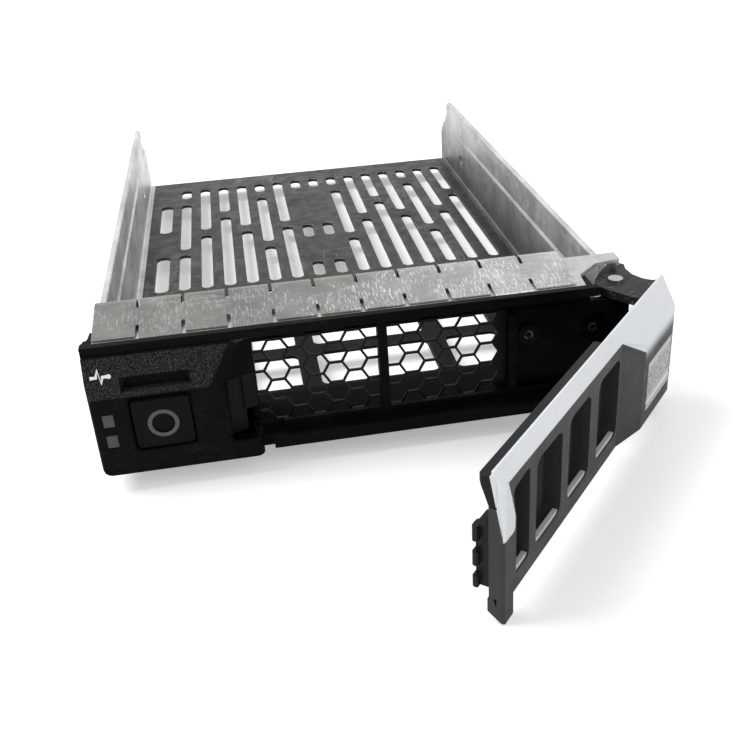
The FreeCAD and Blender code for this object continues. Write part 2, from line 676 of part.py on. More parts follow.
def hexagon(x, z, across_flats):
    """A hexagon that stands on a flat side."""
    side = across_flats / math.sqrt(3)
    flat = across_flats / 2
    return [(x - side, z), (x - side / 2, z - flat), (x + side / 2, z - flat), (x + side, z),
            (x + side / 2, z + flat), (x - side / 2, z + flat)]


def make_wall_screws():
    body = new_body("bezel_screws")
    extrude(body, "Pad", "XZ", S.wall_front, S.tray_front + S.steel + 1.2, draw_wall_screws)
    extrude(body, "Pad", "XZ", S.wall_front - 0.9, S.wall_front,
            lambda sketch: draw_wall_screws(sketch, S.wall_screw_r + 0.9))
    return body


# ---------------------------------------------------------------- button and latch

stem_z = as_size(9.8)
flange_face = S.front_wall + 0.15
flange_rear = flange_face + 1.25
lug_x = S.button_x + 2.5
lug_y = as_size(7.4)
arm_low = S.hollow_step + 0.5
arm_high = arm_low + 1.5
latch_travel = S.button_travel * S.latch_ratio


def make_button():
    """Square push button with a retaining flange, a spring stem and the lug that moves the latch."""
    body = new_body("release_button")
    half = S.button_width / 2
    pad(body, "XZ", S.button_face, flange_rear,
        round_box(S.button_x - half, S.button_x + half, S.button_low, S.button_high, 1.0))
    pad(body, "XZ", flange_face, flange_rear,
        round_box(S.button_x - half - 1.3, S.button_x + half + 1.3, S.button_low - 1.3,
                  S.hollow_step - 0.25, 0.8))
    cut(body, "YZ", S.button_x - half - 0.1, S.button_x + half + 0.1,
        [(S.button_face - 1, S.button_high - 0.7), (S.button_face, S.button_high - 0.7),
         (S.button_face + 1.1, S.button_high + 0.1), (S.button_face - 1, S.button_high + 0.1)])
    bore(body, "XZ", S.button_face - 1, S.button_face + 0.4, S.button_x, stem_z, 2.05)
    rod(body, "XZ", flange_rear, flange_rear + 4.6, S.button_x, stem_z, 1.3)
    pad(body, "XY", S.hollow_step - 1.6, S.hollow_step - 0.25,
        box(lug_x - 1.6, lug_x + 1.6, flange_rear - 0.1, lug_y + 1))
    rod(body, "XY", S.hollow_step - 0.5, arm_high + 0.3, lug_x, lug_y, 0.9)
    return body


def make_latch():
    """Latch slider: panel in the opening, nose in front of the lever's hooks and slotted arm."""
    body = new_body("latch_slider")
    left = S.slot_left - latch_travel - 2.0
    panel = [(left, S.front_wall + 0.2), (S.slot_left, S.front_wall + 0.2),
             (S.slot_left + 2.9, S.front_wall + 1.3)]
    back = S.front_wall + 3.1
    pad(body, "XY", S.slot_low + 0.3, 9.2,
        panel + [(S.slot_left + 2.9, back), (left, back)])
    pad(body, "XY", 9.2, S.slot_high - 0.3,
        panel + [(S.slot_left + 2.9, 2.5), (S.block_right - 1.7, 2.93),
                 (S.block_right - 0.15, 3.66), (S.block_right - 0.15, 4.1),
                 (S.block_right - 1.8, 4.1), (S.slot_left + 2.9, back), (left, back)])
    pad(body, "XY", S.slot_low + 0.3, arm_high, box(left, S.slot_left + 2.6, 4.4, 5.9))
    pad(body, "XY", arm_low, arm_high, box(S.button_x - 1.5, S.slot_left + 2.6, 4.6, 12.5))
    ratio, ends, side = S.latch_ratio, 0.9, 0.82
    far_x, far_y = lug_x + latch_travel, lug_y + S.button_travel
    cut(body, "XY", arm_low - 0.5, arm_high + 0.5,
        [(lug_x - ratio * ends - side, lug_y - ends + ratio * side),
         (lug_x - ratio * ends + side, lug_y - ends - ratio * side),
         (far_x + ratio * ends + side, far_y + ends - ratio * side),
         (far_x + ratio * ends - side, far_y + ends + ratio * side)])
    pad(body, "XY", arm_high - 0.1, arm_high + 3, box(S.button_x - 1.5, S.button_x - 0.5, 7.4, 10.6))
    return body


def make_latch_cover():
    """Rear cover of the block with the post that guides the button's spring."""
    body = new_body("latch_cover")
    front = S.rear_depth - S.cover_sheet_rear
    pad(body, "XZ", front, S.rear_depth,
        box(S.hollow_left + 0.1, S.hollow_right - 0.1, S.hollow_low + 0.1, S.hollow_high - 0.1))
    rod(body, "XZ", front - 5, front, S.button_x, stem_z, 1.3)
    return body


# ---------------------------------------------------------------- springs

# Across the flats of a hexagon with the area of a circle of radius 1: the coils' plain section.
SAME_AREA = math.sqrt(2 * math.pi / math.sqrt(3))


def make_coil(name, plane, axis, origin, level, start, height, turns, coil, wire,
              left_handed=False):
    """A coil about a sketch axis that is moved to origin on the plane."""
    body = new_body(name)
    sketch = new_sketch(body, plane, level)
    bind(sketch, "AttachmentOffset.Base.x", origin[0])
    bind(sketch, "AttachmentOffset.Base.y", origin[1])
    across, up = (coil, start) if axis == "V_Axis" else (start, coil)
    draw_outline(sketch, hexagon(across, up, as_size(wire) * SAME_AREA))
    helix = body.newObject("PartDesign::AdditiveHelix", name + "_coil")
    helix.Profile = sketch
    helix.ReferenceAxis = (sketch, [axis])
    helix.Mode = "pitch-height-angle"
    helix.LeftHanded = left_handed
    bind(helix, "Pitch", as_size(height) / turns)
    bind(helix, "Height", height)
    doc.recompute()
    return body


def make_button_spring():
    start = flange_rear + 0.35
    end = S.rear_depth - S.cover_sheet_rear - 0.35
    return make_coil("button_spring", "XY", "V_Axis", (S.button_x, 0), stem_z, start,
                     end - start, 5, 1.9, 0.3)


def make_latch_spring():
    start = S.hollow_left + 0.25
    end = S.button_x - 1.5 - 0.25
    return make_coil("latch_spring", "XY", "H_Axis", (0, 9.0), arm_high + 1.6, start,
                     end - start, 4, 1.1, 0.2)


def make_handle_spring():
    """Torsion spring round the pin, with one leg behind the wall and one towards the lever."""
    coil, wire = as_size(1.95), as_size(0.28)
    low = S.coil_low + 0.5
    height = S.coil_high - 0.5 - low
    body = make_coil("handle_spring", "XZ", "V_Axis", (S.pin_x, 0), S.pin_y, low, height, 5,
                     coil, wire, left_handed=True)
    rod(body, "XZ", 3.75, S.pin_y, S.pin_x + coil, low + height, wire)
    return body


# ---------------------------------------------------------------- lever

for name, value, note in [
    ("thick_end", 22.0, "hinge axis to the end of the lever's thick part"),
    ("rim_end", 27.35, "hinge axis to the end of the wide rim"),
    ("rim_low", 19.8, "underside of the rim"),
    ("slant_one", 24.0, "hinge axis to the start of the pad's slanted side"),
    ("slant_two", 16.05, "hinge axis to the pad's face"),
    ("trim_low", 22.1, "lower edge of the silver strip"),
    ("trim_pad_low", 18.6, "lower edge of the silver on the pad"),
    ("trim_top", 24.3, "top of the silver strip"),
    ("trim_back", 8.0, "hinge axis to the silver strip's rear edge"),
    ("sill_front", 9.75, "hinge axis to the front of the silver sill"),
    ("sill_height", 0.65, "height of the silver sill"),
    ("tongue_low", 12.0, "lower end of the silver tongue at the free end"),
    ("grille_low", 3.4, "bottom of the lever's openings"),
    ("grille_high", 19.7, "top of the lever's openings"),
    ("pocket_back", 6.9, "hinge axis to the floor of the openings"),
    ("waist_back", 7.5, "hinge axis to the rear of the lever's waist"),
    ("waist_length", 3.3, "length of the waist at the free end"),
    ("cap_thick", 1.3, "thickness of the end cap"),
    ("hook_high", 14.3, "top of the hook block"),
    ("hook_back", 5.4, "hinge axis to the rear of the hook block"),
    ("hook_reach", 0.9, "how far the hooks stand out of the end cap"),
    ("catch_depth", 4.2, "how far the finger catch hangs below the lever's underside"),
    ("catch_slope", 2.1, "rise of the finger catch's underside from front to rear"),
    ("catch_width", 3.4, "width of the finger catch"),
    ("catch_back", 7.15, "hinge axis to the rear of the finger catch"),
]:
    S.add(name, value, note)
doc.recompute()
cover_front = -S.lever_front
cover_back = S.cover_sheet - S.lever_front
lever_end = -S.lever_reach
EAR = [(-6.2, -8.0), (-6.0, -5.5), (-5.3, -2.5), (-4.7, -0.2), (-3.7, 2.5), (-1.2, 3.8),
       (2.7, 4.3), (7.3, 4.5), (9.1, 3.6), (8.7, 1.3), (6.6, 0.2), (4.5, -1.9), (3.4, -4.5),
       (3.4, -6.3), (4.3, -8.0)]
OPENINGS = [(-34.9, -24.6), (-48.1, -38.7), (-61.2, -51.1)]
HOOKS = [(2.9, 4.9), (7.0, 9.5), (11.6, 14.3)]


def on_hinge(body):
    """Swing a lever piece, modelled shut about the hinge axis, to the open angle."""
    body.setExpression("Placement.Base.x", S.pin_x.text)
    body.setExpression("Placement.Base.y", S.pin_y.text)
    body.setExpression("Placement.Rotation.Angle", "%s * 1 deg" % S.open_angle.text)
    return body


def draw_openings(sketch):
    """Three equal-height openings and a fourth whose side follows the silver tongue."""
    for left, right in OPENINGS:
        draw_outline(sketch, round_box(left, right, S.grille_low, S.grille_high, 1.8))
    draw_outline(sketch, [(4.2 + lever_end, S.grille_low, 0.4), (9.0 + lever_end, S.grille_low, 1.2),
                          (9.0 + lever_end, S.grille_high + 0.8, 1.0),
                          (2.9 + lever_end, S.grille_high, 1.2),
                          (4.2 + lever_end, S.tongue_low + 2.2, 4.0)])


def make_lever():
    """Black lever: pocketed core, wide rim, hook block at a narrow waist and two hinge ears."""
    body = new_body("handle_lever")
    rear, thin = -S.lever_back, -S.lever_thin_back
    inner_end = lever_end + S.waist_length
    pad(body, "XY", S.lever_step, S.rim_low,
        [(inner_end, cover_back), (3.4, cover_back), (4.4, thin), (-S.thick_end, thin),
         (-S.thick_end, rear), (inner_end, rear)])
    pad(body, "XY", S.lever_step, S.rim_low,
        box(lever_end + S.cap_thick, inner_end + 0.1, cover_back, -S.waist_back))
    pad(body, "XY", S.rim_low - 1.6, S.lever_high,
        [(lever_end, cover_back), (3.4, cover_back), (4.4, thin), (-S.rim_end, thin),
         (-S.rim_end, rear), (lever_end, rear, 0.6)])
    cut(body, "YZ", lever_end - 1, inner_end,
        [(rear + 1, S.rim_low - 3), (-S.waist_back, S.rim_low - 3, 0.1),
         (-S.waist_back, S.rim_low - 1.6, 2.5), (rear - 0.7, S.rim_low + 0.9, 2.5),
         (rear - 0.05, S.lever_high - 1, 0.8), (rear + 1, S.lever_high - 0.9)])
    for low, high in ((S.ear_high - S.ear_thick, S.ear_high), (S.ear_low, S.ear_low + S.ear_thick)):
        pad(body, "XY", low, high, EAR)
    pad(body, "XY", S.ear_low, S.lever_step + 0.1, box(-6.2, 3.4, cover_back, thin))
    pad(body, "XY", S.hook_low, S.hook_high,
        box(lever_end, inner_end + 0.5, -S.waist_back, -S.hook_back))
    tip = lever_end - S.hook_reach
    for low, high in HOOKS:
        pad(body, "XY", low, high,
            [(lever_end + 0.4, -S.hook_back - 0.7), (tip, -S.hook_back - 0.7, 0.2),
             (tip, -S.hook_back + 0.35, 0.5), (lever_end + 0.9, -S.hook_back + 0.35),
             (lever_end + 1.5, -S.hook_back - 0.1), (lever_end + 0.4, -S.hook_back - 0.1)])
    bore(body, "XY", S.ear_low - 1, S.lever_high + 1, 0, 0, S.pin_radius)
    extrude(body, "Pocket", "XZ", cover_back - 1, -S.pocket_back, draw_openings)
    return on_hinge(body)


def face_outline(rear):
    """The lever's front in plan, with the pad standing out near the hinge."""
    right = 3.4 if rear is cover_back else 3.9
    return [(lever_end, cover_front, 0.7), (-S.slant_one, cover_front),
            (-S.slant_two, -S.pad_front, 1.0), (0.95, -S.pad_front), (right, rear),
            (lever_end, rear)]


def tongue_outline(clearance=0):
    """The silver tongue seen from the front; it widens downwards beside the end opening."""
    edge = lever_end + 3.9
    return [(lever_end - 1, S.trim_low), (lever_end + 1.4, S.trim_low), (edge - 1.2, 18.5, 3),
            (edge, S.tongue_low + 2.6, 2), (edge - 0.1, S.tongue_low - clearance, 0.7),
            (lever_end - 1, S.tongue_low - clearance)]


def make_grille():
    """Dark grey cover with four openings, the pad, the end cap and the finger catch."""
    body = new_body("handle_grille")
    pad(body, "XY", S.lever_low, S.trim_low, face_outline(cover_back))
    cut(body, "XZ", -S.pad_front - 1, cover_back + 1,
        [(-S.slant_one, S.trim_low), (-S.slant_two, S.trim_pad_low), (6, S.trim_pad_low),
         (6, S.trim_low + 1), (-S.slant_one, S.trim_low + 1)])
    extrude(body, "Pocket", "XZ", cover_front - 1, cover_back + 1,
            lambda sketch: draw_outline(sketch, tongue_outline()))
    pad(body, "YZ", lever_end, lever_end + 3.9,
        [(cover_back, S.trim_low), (cover_front + 0.25, S.tongue_low - 0.1),
         (cover_back, S.tongue_low - 0.1)])
    pad(body, "XY", S.lever_low, S.rim_low - 2.0,
        box(lever_end, lever_end + S.cap_thick, cover_back - 0.1, -S.waist_back))
    pad(body, "XY", S.lever_low - S.catch_depth - 0.5, S.lever_low + 0.1,
        [(lever_end, cover_front, 0.7), (lever_end + S.catch_width, cover_front),
         (lever_end + S.catch_width, -S.catch_back), (lever_end, -S.catch_back, 0.3)])
    catch_low = S.lever_low - S.catch_depth
    cut(body, "YZ", lever_end - 1, lever_end + S.catch_width + 1,
        [(cover_front - 1, catch_low), (cover_front, catch_low), (-S.catch_back, catch_low + S.catch_slope),
         (1 - S.catch_back, catch_low + S.catch_slope), (1 - S.catch_back, catch_low - 2),
         (cover_front - 1, catch_low - 2)])
    cut(body, "XY", S.lever_low - 0.7, S.lever_low + 0.2,
        box(lever_end + S.cap_thick, lever_end + S.catch_width + 1, cover_back, 1 - S.catch_back))
    cut(body, "YZ", lever_end - 1, lever_end + 0.6,
        [(-8.85, 0.9), (-8.2, 0.9), (-8.75, -0.7)])
    extrude(body, "Pocket", "XZ", cover_front - 1, cover_back + 1, draw_openings)
    cut(body, "XZ", -S.sill_front, cover_back + 1,
        box(4.2 + lever_end - 0.6, -24.0, S.grille_low, S.grille_low + S.sill_height))
    return on_hinge(body)


def make_trim():
    """Silver frame: bevelled top edge, broad facet on the pad, tongue at the free end and sill."""
    body = new_body("handle_trim")
    pad(body, "XY", S.trim_pad_low, S.trim_top, face_outline(-S.trim_back))
    cut(body, "XZ", -S.pad_front - 1, 1 - S.trim_back,
        [(lever_end - 1, S.trim_pad_low - 1), (lever_end - 1, S.trim_low),
         (-S.slant_one, S.trim_low), (-S.slant_two, S.trim_pad_low),
         (-S.slant_two, S.trim_pad_low - 1)])
    cut(body, "YZ", lever_end - 1, 6,
        [(cover_back, S.trim_pad_low - 1), (2 - S.trim_back, S.trim_pad_low - 1),
         (2 - S.trim_back, S.lever_high), (cover_back, S.lever_high)])
    slope, top = as_size(1.255), -S.trim_back - 0.4
    cut(body, "YZ", lever_end - 1, 6,
        [(top, S.trim_top), (top - 5, S.trim_top - slope * 5), (top - 5, S.trim_top + 1),
         (top, S.trim_top + 1)])
    extrude(body, "Pad", "XZ", cover_front, cover_back,
            lambda sketch: draw_outline(sketch, tongue_outline()))
    cut(body, "YZ", lever_end - 2, lever_end + 5,
        [(cover_back, S.trim_low), (cover_front + 0.25, S.tongue_low - 0.1),
         (cover_back + 1, S.tongue_low - 0.1), (cover_back + 1, S.trim_low)])
    cut(body, "XY", S.tongue_low - 1, S.trim_top + 1,
        [(lever_end - 2, cover_front - 1), (lever_end + 1, cover_front - 1),
         (lever_end + 1, cover_front), (lever_end, cover_front, 0.7),
         (lever_end, 2 - S.trim_back), (lever_end - 2, 2 - S.trim_back)])
    return on_hinge(body)


def make_sill():
    """Silver sill that shows along the bottom of the openings, behind the cover's bars."""
    body = new_body("handle_sill")
    pad(body, "XZ", -S.sill_front, cover_back,
        box(4.2 + lever_end - 0.6, -24.0, S.grille_low, S.grille_low + S.sill_height))
    return on_hinge(body)


def make_label():
    body = new_body("handle_label")
    pad(body, "XZ", -S.pad_front - 0.2, -S.pad_front, box(-14.2, -0.4, 3.5, 13.8))
    return on_hinge(body)


def make_pin():
    """Headed pin pressed into the ears."""
    body = new_body("hinge_pin")
    rod(body, "XY", S.ear_low - 0.45, S.ear_high, 0, 0, S.pin_radius)
    rod(body, "XY", S.ear_high, S.ear_high + 0.6, 0, 0, S.pin_radius + 0.25)
    return on_hinge(body)


def make_pin_clip():
    """Open retaining ring on the pin's lower end."""
    body = new_body("pin_clip")
    low, high = S.ear_low - 0.4, S.ear_low
    rod(body, "XY", low, high, 0, 0, S.pin_radius + 1.2)
    bore(body, "XY", low - 1, high + 1, 0, 0, S.pin_radius)
    cut(body, "XY", low - 1, high + 1, box(-0.8, 0.8, 0, S.pin_radius + 2))
    return on_hinge(body)


# ---------------------------------------------------------------- light pipes

def pipe_run(body, low, high, start):
    """The stretch that leaves the inside of the rail and runs along its outside."""
    left, right = S.pipe_left, S.pipe_left + S.pipe_width
    outer, inner = -rail_outer_low - 0.8, -rail_outer_low - 0.1
    pad(body, "XY", low, high,
        [(left, start), (right, start), (right, 19.8), (inner, 28), (inner, pipe_end),
         (outer, pipe_end), (outer, 26.5), (left, 19.2)])


def make_pipe_upper():
    body = new_body("light_pipe_upper")
    pad_lens(body, S.pipe_high)
    pipe_run(body, S.pipe_high, S.pipe_high + S.pipe_height, 1)
    return body


def make_pipe_lower():
    """This pipe steps down behind the front, below the drive's side screws."""
    body = new_body("light_pipe_lower")
    pad_lens(body, S.pipe_low)
    left, right = S.pipe_left, S.pipe_left + S.pipe_width
    pad(body, "YZ", left, right,
        [(1, S.pipe_low), (9.5, S.pipe_low), (9.5, pipe_run_low), (12.1, pipe_run_low),
         (12.1, S.pipe_low + S.pipe_height, 1), (1, S.pipe_low + S.pipe_height)])
    pipe_run(body, pipe_run_low, pipe_run_low + pipe_run_height, 11)
    return body


def pad_lens(body, low):
    pad(body, "XY", low, low + S.pipe_height,
        box(S.pipe_left - 0.2, S.pipe_left + S.pipe_width + 0.1, 0.25, 2.5))


def make_pipe_clips():
    """Three clips that hold the light pipes against the rail."""
    body = new_body("pipe_clips")
    outer, wall = -half_front, -rail_outer_low
    strap = pad(body, "XY", 1.9, S.joggle_level - 0.4, 
                box(outer, outer + 0.3, S.clip_first, S.clip_first + S.clip_width))
    leg = pad(body, "XY", pipe_run_low + pipe_run_height + 0.1, S.pipe_high - 0.1,
              box(outer + 0.2, wall, S.clip_first, S.clip_first + S.clip_width))
    spacing = (pipe_end - S.clip_margin - S.clip_width - S.clip_first) / 2
    pattern = repeat(body, strap, "Y_Axis", spacing, 3)
    pattern.Originals = [strap, leg]
    doc.recompute()
    return body


# ---------------------------------------------------------------- build and export

MAKERS = [make_tray, make_bracket, make_fingers, make_bezel, make_screen, make_button,
          make_button_spring, make_latch, make_latch_spring, make_latch_cover, make_pipe_upper,
          make_pipe_lower, make_pipe_clips, make_lever, make_trim, make_sill, make_grille,
          make_label,
          make_pin, make_pin_clip, make_handle_spring, make_wall_screws, make_rivets]
parts = [make() for make in MAKERS]
doc.recompute()
for thing in doc.Objects:
    if "Invalid" in thing.State or "Error" in thing.State:
        raise RuntimeError("%s failed: %s" % (thing.Name, thing.State))
os.makedirs("parts", exist_ok=True)
for part in parts:
    if part.Shape.isNull() or not part.Shape.isValid():
        raise RuntimeError("%s has no valid shape" % part.Name)
    part.Label = part.Name
    part.Shape.exportStep("parts/%s.step" % part.Name)
    print("%-18s solids %d volume %.1f" % (part.Name, len(part.Shape.Solids), part.Shape.Volume))
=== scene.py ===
"""Looks of a hot swap drive caddy, laid out as a Blender add-on."""

import json
import math

import bmesh
import bpy
from mathutils import Matrix, Vector


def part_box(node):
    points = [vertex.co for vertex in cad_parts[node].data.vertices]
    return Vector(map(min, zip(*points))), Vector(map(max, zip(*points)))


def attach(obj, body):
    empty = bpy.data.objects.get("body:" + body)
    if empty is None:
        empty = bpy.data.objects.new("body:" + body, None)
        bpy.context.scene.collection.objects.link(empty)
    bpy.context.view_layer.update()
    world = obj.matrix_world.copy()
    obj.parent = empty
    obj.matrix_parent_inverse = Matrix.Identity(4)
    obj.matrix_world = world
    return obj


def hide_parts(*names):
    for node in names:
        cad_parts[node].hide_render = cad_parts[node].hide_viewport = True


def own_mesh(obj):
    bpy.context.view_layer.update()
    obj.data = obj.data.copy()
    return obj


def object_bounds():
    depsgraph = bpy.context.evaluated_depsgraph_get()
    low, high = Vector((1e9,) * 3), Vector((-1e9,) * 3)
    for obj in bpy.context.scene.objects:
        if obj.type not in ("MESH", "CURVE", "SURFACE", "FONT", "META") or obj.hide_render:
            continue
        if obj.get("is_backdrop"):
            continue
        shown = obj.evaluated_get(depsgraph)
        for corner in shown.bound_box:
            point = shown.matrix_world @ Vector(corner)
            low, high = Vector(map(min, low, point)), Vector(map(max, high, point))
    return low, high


bl_info = {
    "name": "Drive Caddy Looks",
    "version": (1, 0, 0),
    "blender": (4, 5, 0),
    "location": "3D View > Sidebar > Caddy",
    "description": "Finishes, printed marks, springs and studio of a hot swap drive caddy",
    "category": "Object",
}

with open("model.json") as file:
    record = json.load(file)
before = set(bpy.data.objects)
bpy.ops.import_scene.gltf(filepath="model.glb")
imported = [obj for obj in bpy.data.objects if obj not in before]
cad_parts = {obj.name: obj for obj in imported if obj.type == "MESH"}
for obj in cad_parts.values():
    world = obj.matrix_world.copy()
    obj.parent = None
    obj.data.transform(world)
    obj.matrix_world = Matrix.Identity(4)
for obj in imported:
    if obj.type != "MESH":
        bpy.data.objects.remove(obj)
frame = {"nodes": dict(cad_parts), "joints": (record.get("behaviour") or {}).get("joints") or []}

MM = 0.001
HINGE = next(joint for joint in frame["joints"] if joint["name"] == "handle_hinge")
OPEN_ANGLE = -math.radians(HINGE["range_deg"][0])

# Places on the front, in mm. An opening is its lower left and upper right corners (x, z).
BUTTON_OPENING = ((-45.8, 5.0), (-35.2, 15.5))
LATCH_OPENING = ((-28.2, 4.1), (-23.0, 16.7))
RING_HEIGHT = 9.8
SLOPE_FOOT, SLOPE_RISE, SLOPE_DEPTH = 17.3, 6.35, 2.4
MARK_X, MARK_RISE = -50.15, 3.05

# Places on the lever, in mm. On the pad's slanted side the silver paint's lower edge falls
# by PAINT_FALL for each mm towards the hinge, and would reach the hinge at PAINT_HEIGHT.
# Between the two of PAD_START the slanted side gives way to the pad's face.
TRIM_LOW = 22.1
PAINT_HEIGHT, PAINT_FALL = 7.01, 0.629
PAD_START = (-16.05, -15.75)

# Base colours that have no setting of their own.
RIVET_STEEL = (0.42, 0.41, 0.40)
PIN_STEEL = (0.46, 0.455, 0.45)
BUTTON_BLACK = (0.0045, 0.0040, 0.0040)
LATCH_BLACK = (0.0085, 0.0078, 0.0078)
CORE_BLACK = (0.0065, 0.006, 0.006)
RING_INK = (0.085, 0.072, 0.07)

# Tones that wear, print and painted light, shade and reflections blend over a base colour.
# painted shade on the base floor behind the front
FLOOR_SHADE_ZINC = (0.016, 0.0155, 0.015, 1)
# painted shade on the tray's front end
FRONT_END_SHADE = (0.004, 0.004, 0.004, 1)
# painted shade on the right rail's wall
RIGHT_WALL_SHADE = (0.20, 0.194, 0.19, 1)
# painted light on the left rail's wall
LEFT_WALL_LIGHT = (0.78, 0.79, 0.79, 1)
ZINC_RUB = (0.62, 0.61, 0.60, 1)
ZINC_EDGE = (0.55, 0.54, 0.53, 1)
# painted reflection that lightens the contact strip towards its right end
STEEL_REFLECTION = (0.60, 0.595, 0.58, 1)
BRUSHED_LINE = (0.22, 0.218, 0.21, 1)
STEEL_RUB = (0.86, 0.86, 0.85, 1)
# painted highlight on the contact strip's edges
STEEL_EDGE_HIGHLIGHT = (0.85, 0.85, 0.84, 1)
# painted glints on the peaks of the moulded grain
GRAIN_GLINT = (0.068, 0.065, 0.063, 1)
WORN_BLACK = (0.07, 0.068, 0.066, 1)
JOINT_BLACK = (0.0004, 0.0004, 0.0004, 1)
# painted highlight on the rim at the top of the slanted face
RIM_GLINT = (0.4, 0.4, 0.4, 1)
DUST = (0.15, 0.15, 0.15, 1)
SCREEN_EDGE = (0.06, 0.06, 0.06, 1)
# rubs on moulded edges, and painted glints on the lever's ears
PLASTIC_RUB_AND_GLINT = (0.09, 0.088, 0.086, 1)
COVER_RUB = (0.16, 0.15, 0.148, 1)
POCKET_GREY = (0.045, 0.041, 0.04, 1)
PAINT_FLECK = (0.9, 0.91, 0.93, 1)
PAINT_SCRATCH = (0.35, 0.36, 0.37, 1)
LENS_RIB = (0.10, 0.098, 0.097, 1)
SCREW_BLACK = (0.008, 0.008, 0.008, 1)
# painted glint round the screws' recess
SCREW_RIM_GLINT = (0.16, 0.157, 0.153, 1)
LABEL_SILVER = (0.50, 0.485, 0.49, 1)
LABEL_DASH = (0.1, 0.1, 0.1, 1)
LABEL_LINE = (0.85, 0.84, 0.85, 1)
WHITE, BLACK = (1, 1, 1, 1), (0, 0, 0, 1)

# Studio: the floor's paper and how brightly it shows, the light of the world on the object,
# each lamp's name, place (m), width (m) and power (W), and the camera.
FLOOR_PAPER = (0.86, 0.86, 0.86, 1)
FLOOR_GLOW, FLOOR_GLOSS_GLOW = 0.38, 0.1
WORLD_LIGHT = 0.5
LAMPS = (("key", (-0.45, 0.15, 0.65), 0.45, 5.0), ("fill", (0.5, -0.5, 0.45), 0.6, 1.6))
LAMP_TARGET = (0, 0.05, 0.01)
CAMERA_PLACE = (-0.02095, -0.16054, 0.104)
CAMERA_TURN, CAMERA_TILT, CAMERA_ROLL = 0.164436, 0.502933, -0.0485945
CAMERA_LENS = 47.27
CAMERA_SHIFT = (-0.0449, -0.0068)


# ---------------------------------------------------------------- settings

def colour_setting(name, description, value):
    return bpy.props.FloatVectorProperty(
        name=name, description=description, subtype="COLOR", size=3, min=0, max=1, default=value)


def length_setting(name, description, value):
    return bpy.props.FloatProperty(
        name=name, description=description, unit="LENGTH", min=0, precision=5, default=value)


class CaddyColours(bpy.types.PropertyGroup):
    rail_zinc: colour_setting("Rail zinc", "Zinc plate on the rails", (0.60, 0.59, 0.58))
    # painted shade: the base's zinc is set far darker than the rails'
    shaded_base_zinc: colour_setting("Base zinc", "Dull zinc plate on the perforated base",
                              (0.050, 0.0488, 0.0475))
    contact_steel: colour_setting("Contact steel", "Bare spring steel of the contact strip",
                                  (0.215, 0.212, 0.20))
    black_moulding: colour_setting("Black moulding", "Black plastic of the front",
                                   (0.0040, 0.0035, 0.0035))
    black_screen: colour_setting("Black screen", "Paint on the perforated screen",
                                 (0.006, 0.006, 0.006))
    lever_grey: colour_setting("Lever grey", "Warm grey plastic of the lever's cover",
                               (0.042, 0.037, 0.036))
    silver_paint: colour_setting("Silver paint", "Silver paint of the lever's frame",
                                 (0.76, 0.79, 0.82))
    lens_grey: colour_setting("Lens grey", "Smoked plastic of the light pipes",
                              (0.062, 0.060, 0.060))
    print_white: colour_setting("Print white", "Ink of the printed marks", (0.85, 0.85, 0.84))
    spring_steel: colour_setting("Spring steel", "Wire of the springs", (0.45, 0.44, 0.42))


class CaddySizes(bpy.types.PropertyGroup):
    edge_round: length_setting("Edge round", "Rounding that shows on a moulded edge", 0.12 * MM)
    grain: length_setting("Grain", "Spacing of the moulded grain", 0.15 * MM)
    ring_inner: length_setting("Ring inner", "Inner radius of the button's ring", 2.1 * MM)
    ring_outer: length_setting("Ring outer", "Outer radius of the button's ring", 2.85 * MM)
    ink: length_setting("Ink", "How far a printed mark stands proud", 0.03 * MM)
    mark_line: length_setting("Mark line", "Half the width of the activity mark's line", 0.32 * MM)
    button_wire: length_setting("Button wire", "Radius of the button spring's wire", 0.3 * MM)
    latch_wire: length_setting("Latch wire", "Radius of the latch spring's wire", 0.2 * MM)


def colours():
    return bpy.context.scene.caddy_colours


def sizes():
    return bpy.context.scene.caddy_sizes


# ---------------------------------------------------------------- node helpers

def fill(tree, node, inputs):
    """Give a node its inputs: each is a number, a colour or another node's output."""
    for key, value in inputs.items():
        if isinstance(value, bpy.types.NodeSocket):
            tree.links.new(value, node.inputs[key])
        else:
            node.inputs[key].default_value = value
    return node


def add(tree, kind, inputs, **settings):
    """Add a node with its inputs and settings."""
    node = tree.nodes.new(kind)
    for name, value in settings.items():
        setattr(node, name, value)
    return fill(tree, node, inputs)


def maths(tree, operation, a, b=0.0, clamp=False):
    return add(tree, "ShaderNodeMath", {0: a, 1: b}, operation=operation,
               use_clamp=clamp).outputs[0]


def spread(tree, value, low, high, to_low=0.0, to_high=1.0):
    """Stretch a value's range smoothly from low..high to to_low..to_high."""
    return add(tree, "ShaderNodeMapRange",
               {"Value": value, "From Min": low, "From Max": high, "To Min": to_low,
                "To Max": to_high}, interpolation_type="SMOOTHSTEP").outputs["Result"]


def blend_colours(tree, share, first, second, how="MIX"):
    return add(tree, "ShaderNodeMix", {0: share, 6: first, 7: second}, data_type="RGBA",
               blend_type=how).outputs[2]


def blend_values(tree, share, first, second):
    return add(tree, "ShaderNodeMix", {0: share, 2: first, 3: second}).outputs[0]


def noise(tree, vector, scale, detail=3.0, roughness=0.55):
    return add(tree, "ShaderNodeTexNoise",
               {"Vector": vector, "Scale": scale, "Detail": detail, "Roughness": roughness}
               ).outputs["Fac"]


def stretched(tree, vector, scale, turn=(0, 0, 0)):
    """A vector turned and scaled per axis, for grain that runs one way."""
    return add(tree, "ShaderNodeMapping", {"Vector": vector, "Rotation": turn, "Scale": scale}
               ).outputs[0]


def opaque(colour):
    return (*colour, 1)


def axes(tree, vector):
    """A vector's x, y and z."""
    return add(tree, "ShaderNodeSeparateXYZ", {0: vector}).outputs


def away(tree, value, middle):
    """How far a value is from the middle, either way."""
    return maths(tree, "ABSOLUTE", maths(tree, "SUBTRACT", value, middle))


def both(tree, first, second):
    """Where two masks overlap."""
    return maths(tree, "MULTIPLY", first, second)


# ---------------------------------------------------------------- shared effects

